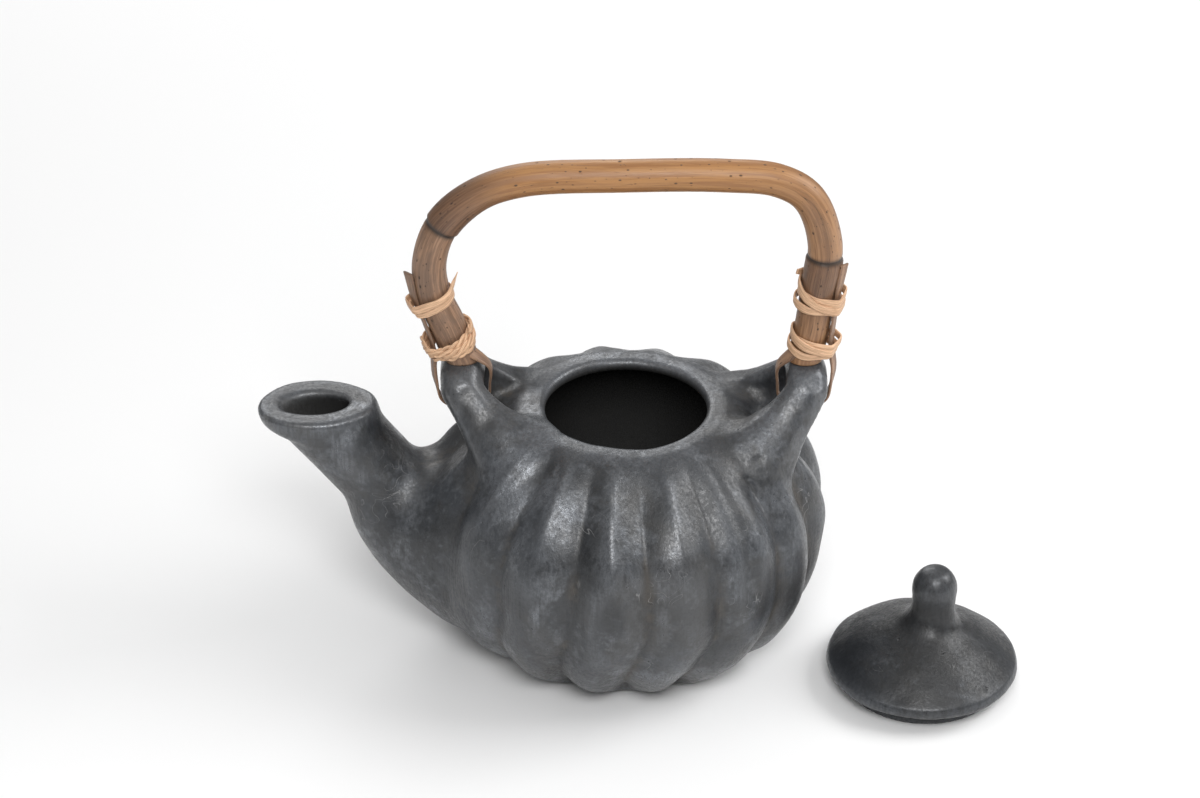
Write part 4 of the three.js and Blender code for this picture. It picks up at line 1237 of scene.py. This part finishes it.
pot_points = vectors_of(pot.data.vertices, "co").astype(float) / MM
below = np.where(pot_points[:, 0] > -90, RIM[1] - pot_points[:, 2], (LIP_CENTRE[2] - pot_points[:, 2]) * 0.8)
# The inside mask: the clay in the mouth and the spout's bore, painted almost black there as painted shade.
store(pot, "inside", smoothstep(-clay_and_hollow(pot_points)[0], 0.4, 2.2) * smoothstep(below, -0.5, 4))
store_bends(pot, pot_field, pot_points, (2.2, 7), (0.1, 0.42), 0.2, 0.22)
lid_points = vectors_of(lid.data.vertices, "co").astype(float) / MM - LID_PLACE
# The lid's inside mask: the hollow under it within the flange, painted almost black as painted shade.
store(lid, "inside", smoothstep(-lid_points[:, 2], -9, -6) * (np.hypot(*lid_points[:, :2].T) < 27))
store_bends(lid, lid_field, lid_points, (2, 6), (0.12, 0.5), 0.3, 0.3)

# %% [markdown]
# The clay itself: a blue grey that turns darker and lighter in blotches, silver where it is polished, brown in
# the hollows, with pits, fine hairs and the faint strokes of the polishing stone. The valleys are darkened and
# the hollow inside the mouth, the bore and the lid is painted almost black, both as painted shade, and the
# silver on crests and edges is partly a painted highlight. Roughness follows the same masks, because a silvery
# patch is silvery for being smooth.

# %% Clay
def clay_paint(name, dark, light, silver, silver_low, ochre, pit_size, gloss):
    """Burnished clay. The levels say how dark and light it is and how much of it shines."""
    paint, tree, shader = start_material(name)
    where = node(tree, "TexCoord", out="Object")
    edge, valley, crest, inside = (kept(tree, mask) for mask in ("edge", "valley", "crest", "inside"))
    cloudy = effect("blotches", where, Scale=30, Low=0.34, High=0.68)
    mottled = effect("blotches", where, Scale=150, Low=0.42, High=0.66)
    polish = effect("blotches", where, Scale=38, Low=silver_low, High=silver_low + 0.26)
    dust = effect("blotches", where, Scale=44, Low=0.42, High=0.62)
    warm = effect("blotches", where, Scale=13, Low=0.48, High=0.62)
    pits = effect("specks", where, Scale=230, Size=pit_size, Amount=0.14)
    strokes = effect("streaks", stretched(where, (1, 1, 0.07)), Scale=800, Squeeze=1)
    hairs = effect("scratches", where, Scale=75, Width=0.006, Amount=0.42)
    crumbs = noise(where, 820, 2)
    broken = band(strokes, 0.36, 0.62, 0.4, 1) * band(crumbs, 0.34, 0.56, 0.7, 1)
    # Silver where the stone polished in random patches, and along the crests a painted highlight.
    polish_and_highlight = (polish * (1 - valley).clamped()).larger(crest * 0.7) * broken
    # Edges painted silver: polish from the stone, and a painted highlight.
    edge_polish_and_highlight = edge * band(noise(where, 160, 3), 0.38, 0.6, 0.1, 0.7) * band(crumbs, 0.34, 0.56, 0.5, 1)
    colour = blend(cloudy, grey(dark, 0.1), grey(light, 0.11))
    for share, tone in (
        (mottled * 0.3, grey(light * 1.2, 0.08)),
        # Silver paint: real polish in patches, and on crests a painted highlight.
        (polish_and_highlight * 0.6, grey(silver, 0.05)),
        (warm * ochre, (light * 1.25, light * 1.08, light * 0.85, 1)),
        (valley * dust * ochre, (0.115, 0.088, 0.058, 1)),
        # Painted shade: the rib valleys are painted darker.
        (valley * 0.2, grey(dark * 0.5)),
        # Painted highlight, with the stone's polish: a silver line along the edges.
        (edge_polish_and_highlight, grey(silver * 1.5)),
        (hairs * 0.4, grey(silver * 1.4)),
        (pits * 0.75, grey(0.012)),
        # Painted shade: the inside mask paints the hollows almost black.
        (inside, grey(0.008, -0.05)),
    ):
        colour = blend(share, colour, tone)
    sheen = polish_and_highlight * 0.6 + edge_polish_and_highlight * 0.3 + 0.06 - inside * 0.4
    tree.links.new(sheen.larger(0).socket, shader.inputs["Metallic"])
    shader.inputs["IOR"].default_value = gloss
    rough = band(polish_and_highlight, 0, 1, 0.4, 0.24) + valley * 0.1 + band(strokes, 0.35, 0.65, -0.06, 0.12)
    rough = (rough + band(crumbs, 0.3, 0.6, 0.08, -0.04) + inside * 0.4).clamped()
    height = noise(where, 1400, 2) * 0.03 + noise(where, 240, 3) * 0.4 + strokes * 0.34 + crumbs * 0.07
    link_finish(tree, shader, colour, rough, height - pits * 0.5 - hairs * 0.12, 0.55, 0.0008)
    return paint


pot.data.materials.append(clay_paint("burnished_clay", 0.014, 0.034, 0.29, 0.42, 0.3, 0.1, 1.7))
lid.data.materials.append(clay_paint("lid_clay", 0.009, 0.022, 0.2, 0.54, 0.2, 0.16, 1.55))
print("clay ready")

# %% [markdown]
# Bamboo has a hard skin with fibres that run all along it. The grip is caramel from hands, the legs are greyer,
# the sheath above each node is redder and streaked, the node itself is a dark line, and small dark specks and
# hair cracks lie everywhere. These patterns read the place on the straightened cane, so they bend with it.

# %% Cane and rattan
def cane_paint():
    """Long streaks mixed into a warm and a grey brown, with a sheath tone, node lines, specks and cracks."""
    paint, tree, shader = start_material("speckled_cane")
    where = kept(tree, "straight", "Vector")
    leg, sheath, ring = (kept(tree, mask) for mask in ("leg", "sheath", "ring"))
    grain = band(effect("streaks", where, Scale=0.5, Squeeze=0.05), 0.4, 0.6)
    fibres = effect("streaks", where, Scale=2.4, Squeeze=0.02)
    stains = effect("blotches", stretched(where, (0.35, 1, 1)), Scale=0.09, Low=0.42, High=0.66)
    large = effect("specks", stretched(where, (0.55, 1, 1)), Scale=0.6, Size=0.23, Amount=0.5)
    small = effect("specks", stretched(where, (0.5, 1, 1)), Scale=0.8, Size=0.17, Amount=0.3)
    cracks = effect("scratches", stretched(where, (0.04, 1, 1)), Scale=0.55, Width=0.014, Amount=0.47)
    marks = large.larger(small * 0.7).larger(cracks)
    warm = blend(grain, (0.31, 0.143, 0.052, 1), (0.43, 0.215, 0.08, 1))
    dull = blend(grain, (0.19, 0.108, 0.065, 1), (0.36, 0.213, 0.13, 1))
    sheath_tone = blend(band(fibres, 0.42, 0.58), (0.07, 0.034, 0.02, 1), (0.2, 0.105, 0.06, 1))
    colour = warm
    for share, tone in (
        (leg, dull),
        (sheath * 0.8, sheath_tone),
        (stains * (leg * 0.5), (0.13, 0.09, 0.068, 1)),
        (band(fibres, 0.45, 0.7, 0, 0.2), (0.16, 0.095, 0.055, 1)),
        (marks * 0.85, (0.035, 0.022, 0.015, 1)),
        (ring, (0.02, 0.015, 0.012, 1)),
    ):
        colour = blend(share, colour, tone)
    rough = (band(fibres, 0.35, 0.65, 0.34, 0.46) + leg * 0.1 + marks * 0.2).clamped()
    link_finish(tree, shader, colour, rough, fibres * 0.5 - marks * 0.7, 0.5, 0.0004)
    return paint


def rattan_paint():
    """Pale straw with fine fibres along the strip and a few darker stains."""
    paint, tree, shader = start_material("split_rattan")
    where = kept(tree, "straight", "Vector")
    fibres = effect("streaks", where, Scale=2.2, Squeeze=0.035)
    stains = effect("blotches", stretched(where, (0.4, 1, 1)), Scale=0.14, Low=0.5, High=0.72)
    colour = blend(band(fibres, 0.38, 0.62), (0.47, 0.28, 0.165, 1), (0.82, 0.53, 0.33, 1))
    colour = blend(stains * 0.5, colour, (0.45, 0.26, 0.14, 1))
    link_finish(tree, shader, colour, band(fibres, 0.3, 0.7, 0.62, 0.46), fibres, 0.6, 0.0003)
    return paint


cane_finish = cane_paint()
rattan_finish = rattan_paint()
for piece in (cane, left_tongue, right_tongue):
    piece.data.materials.append(cane_finish)
for piece in ties:
    piece.data.materials.append(rattan_finish)
print("finishes", cane_finish.name, rattan_finish.name)

# %% [markdown]
# A product photograph on white is lit by large soft panels over a white sweep. One panel stands high on the
# right, one high in front and a low wide one behind, so soft shadows lie to the left. Towards the horizon the
# room is darker, which keeps the sides of the dark clay dark.

# %% Floor and light
FLOOR_HALF = 3000
AIM = (0, 0, 60)

floor_corners = FLOOR_HALF * np.array([[-1, -1, 0], [1, -1, 0], [1, 1, 0], [-1, 1, 0]], float)
floor = make_mesh("floor", floor_corners, np.array([[0, 1, 2, 3]]), smooth=False)
floor_paint, _, floor_shader = start_material("floor")
floor_shader.inputs["Base Color"].default_value = (0.92, 0.92, 0.92, 1)
floor_shader.inputs["Roughness"].default_value = 0.9
floor.data.materials.append(floor_paint)
bpy.context.scene.view_settings.view_transform = "Standard"

world = bpy.data.worlds.new("studio")
world.use_nodes = True
sky = world.node_tree
height = node(sky, "SeparateXYZ", {0: node(sky, "TexCoord", out="Generated")}, "Z")
sky.links.new(band(height, 0.0, 0.9, 0.1, 0.56).socket, sky.nodes["Background"].inputs["Strength"])
sky.nodes["Background"].inputs["Color"].default_value = (1, 1, 1, 1)
bpy.context.scene.world = world


def add_panel(name, place, size, power):
    """A soft square lamp at a place in millimetres, turned to face the pot."""
    lamp = bpy.data.lights.new(name, "AREA")
    lamp.shape = "RECTANGLE"
    lamp.size, lamp.size_y = size
    lamp.energy = power
    piece = add_object(name, lamp)
    piece.location = [c * MM for c in place]
    piece.rotation_euler = (Vector(AIM) - Vector(place)).to_track_quat("-Z", "Y").to_euler()


add_panel("right_panel", (950, 40, 800), (0.7, 0.7), 7.8)
add_panel("front_panel", (60, -980, 1000), (0.55, 0.45), 9.6)
add_panel("back_panel", (-250, 1200, 760), (0.9, 0.5), 5.2)
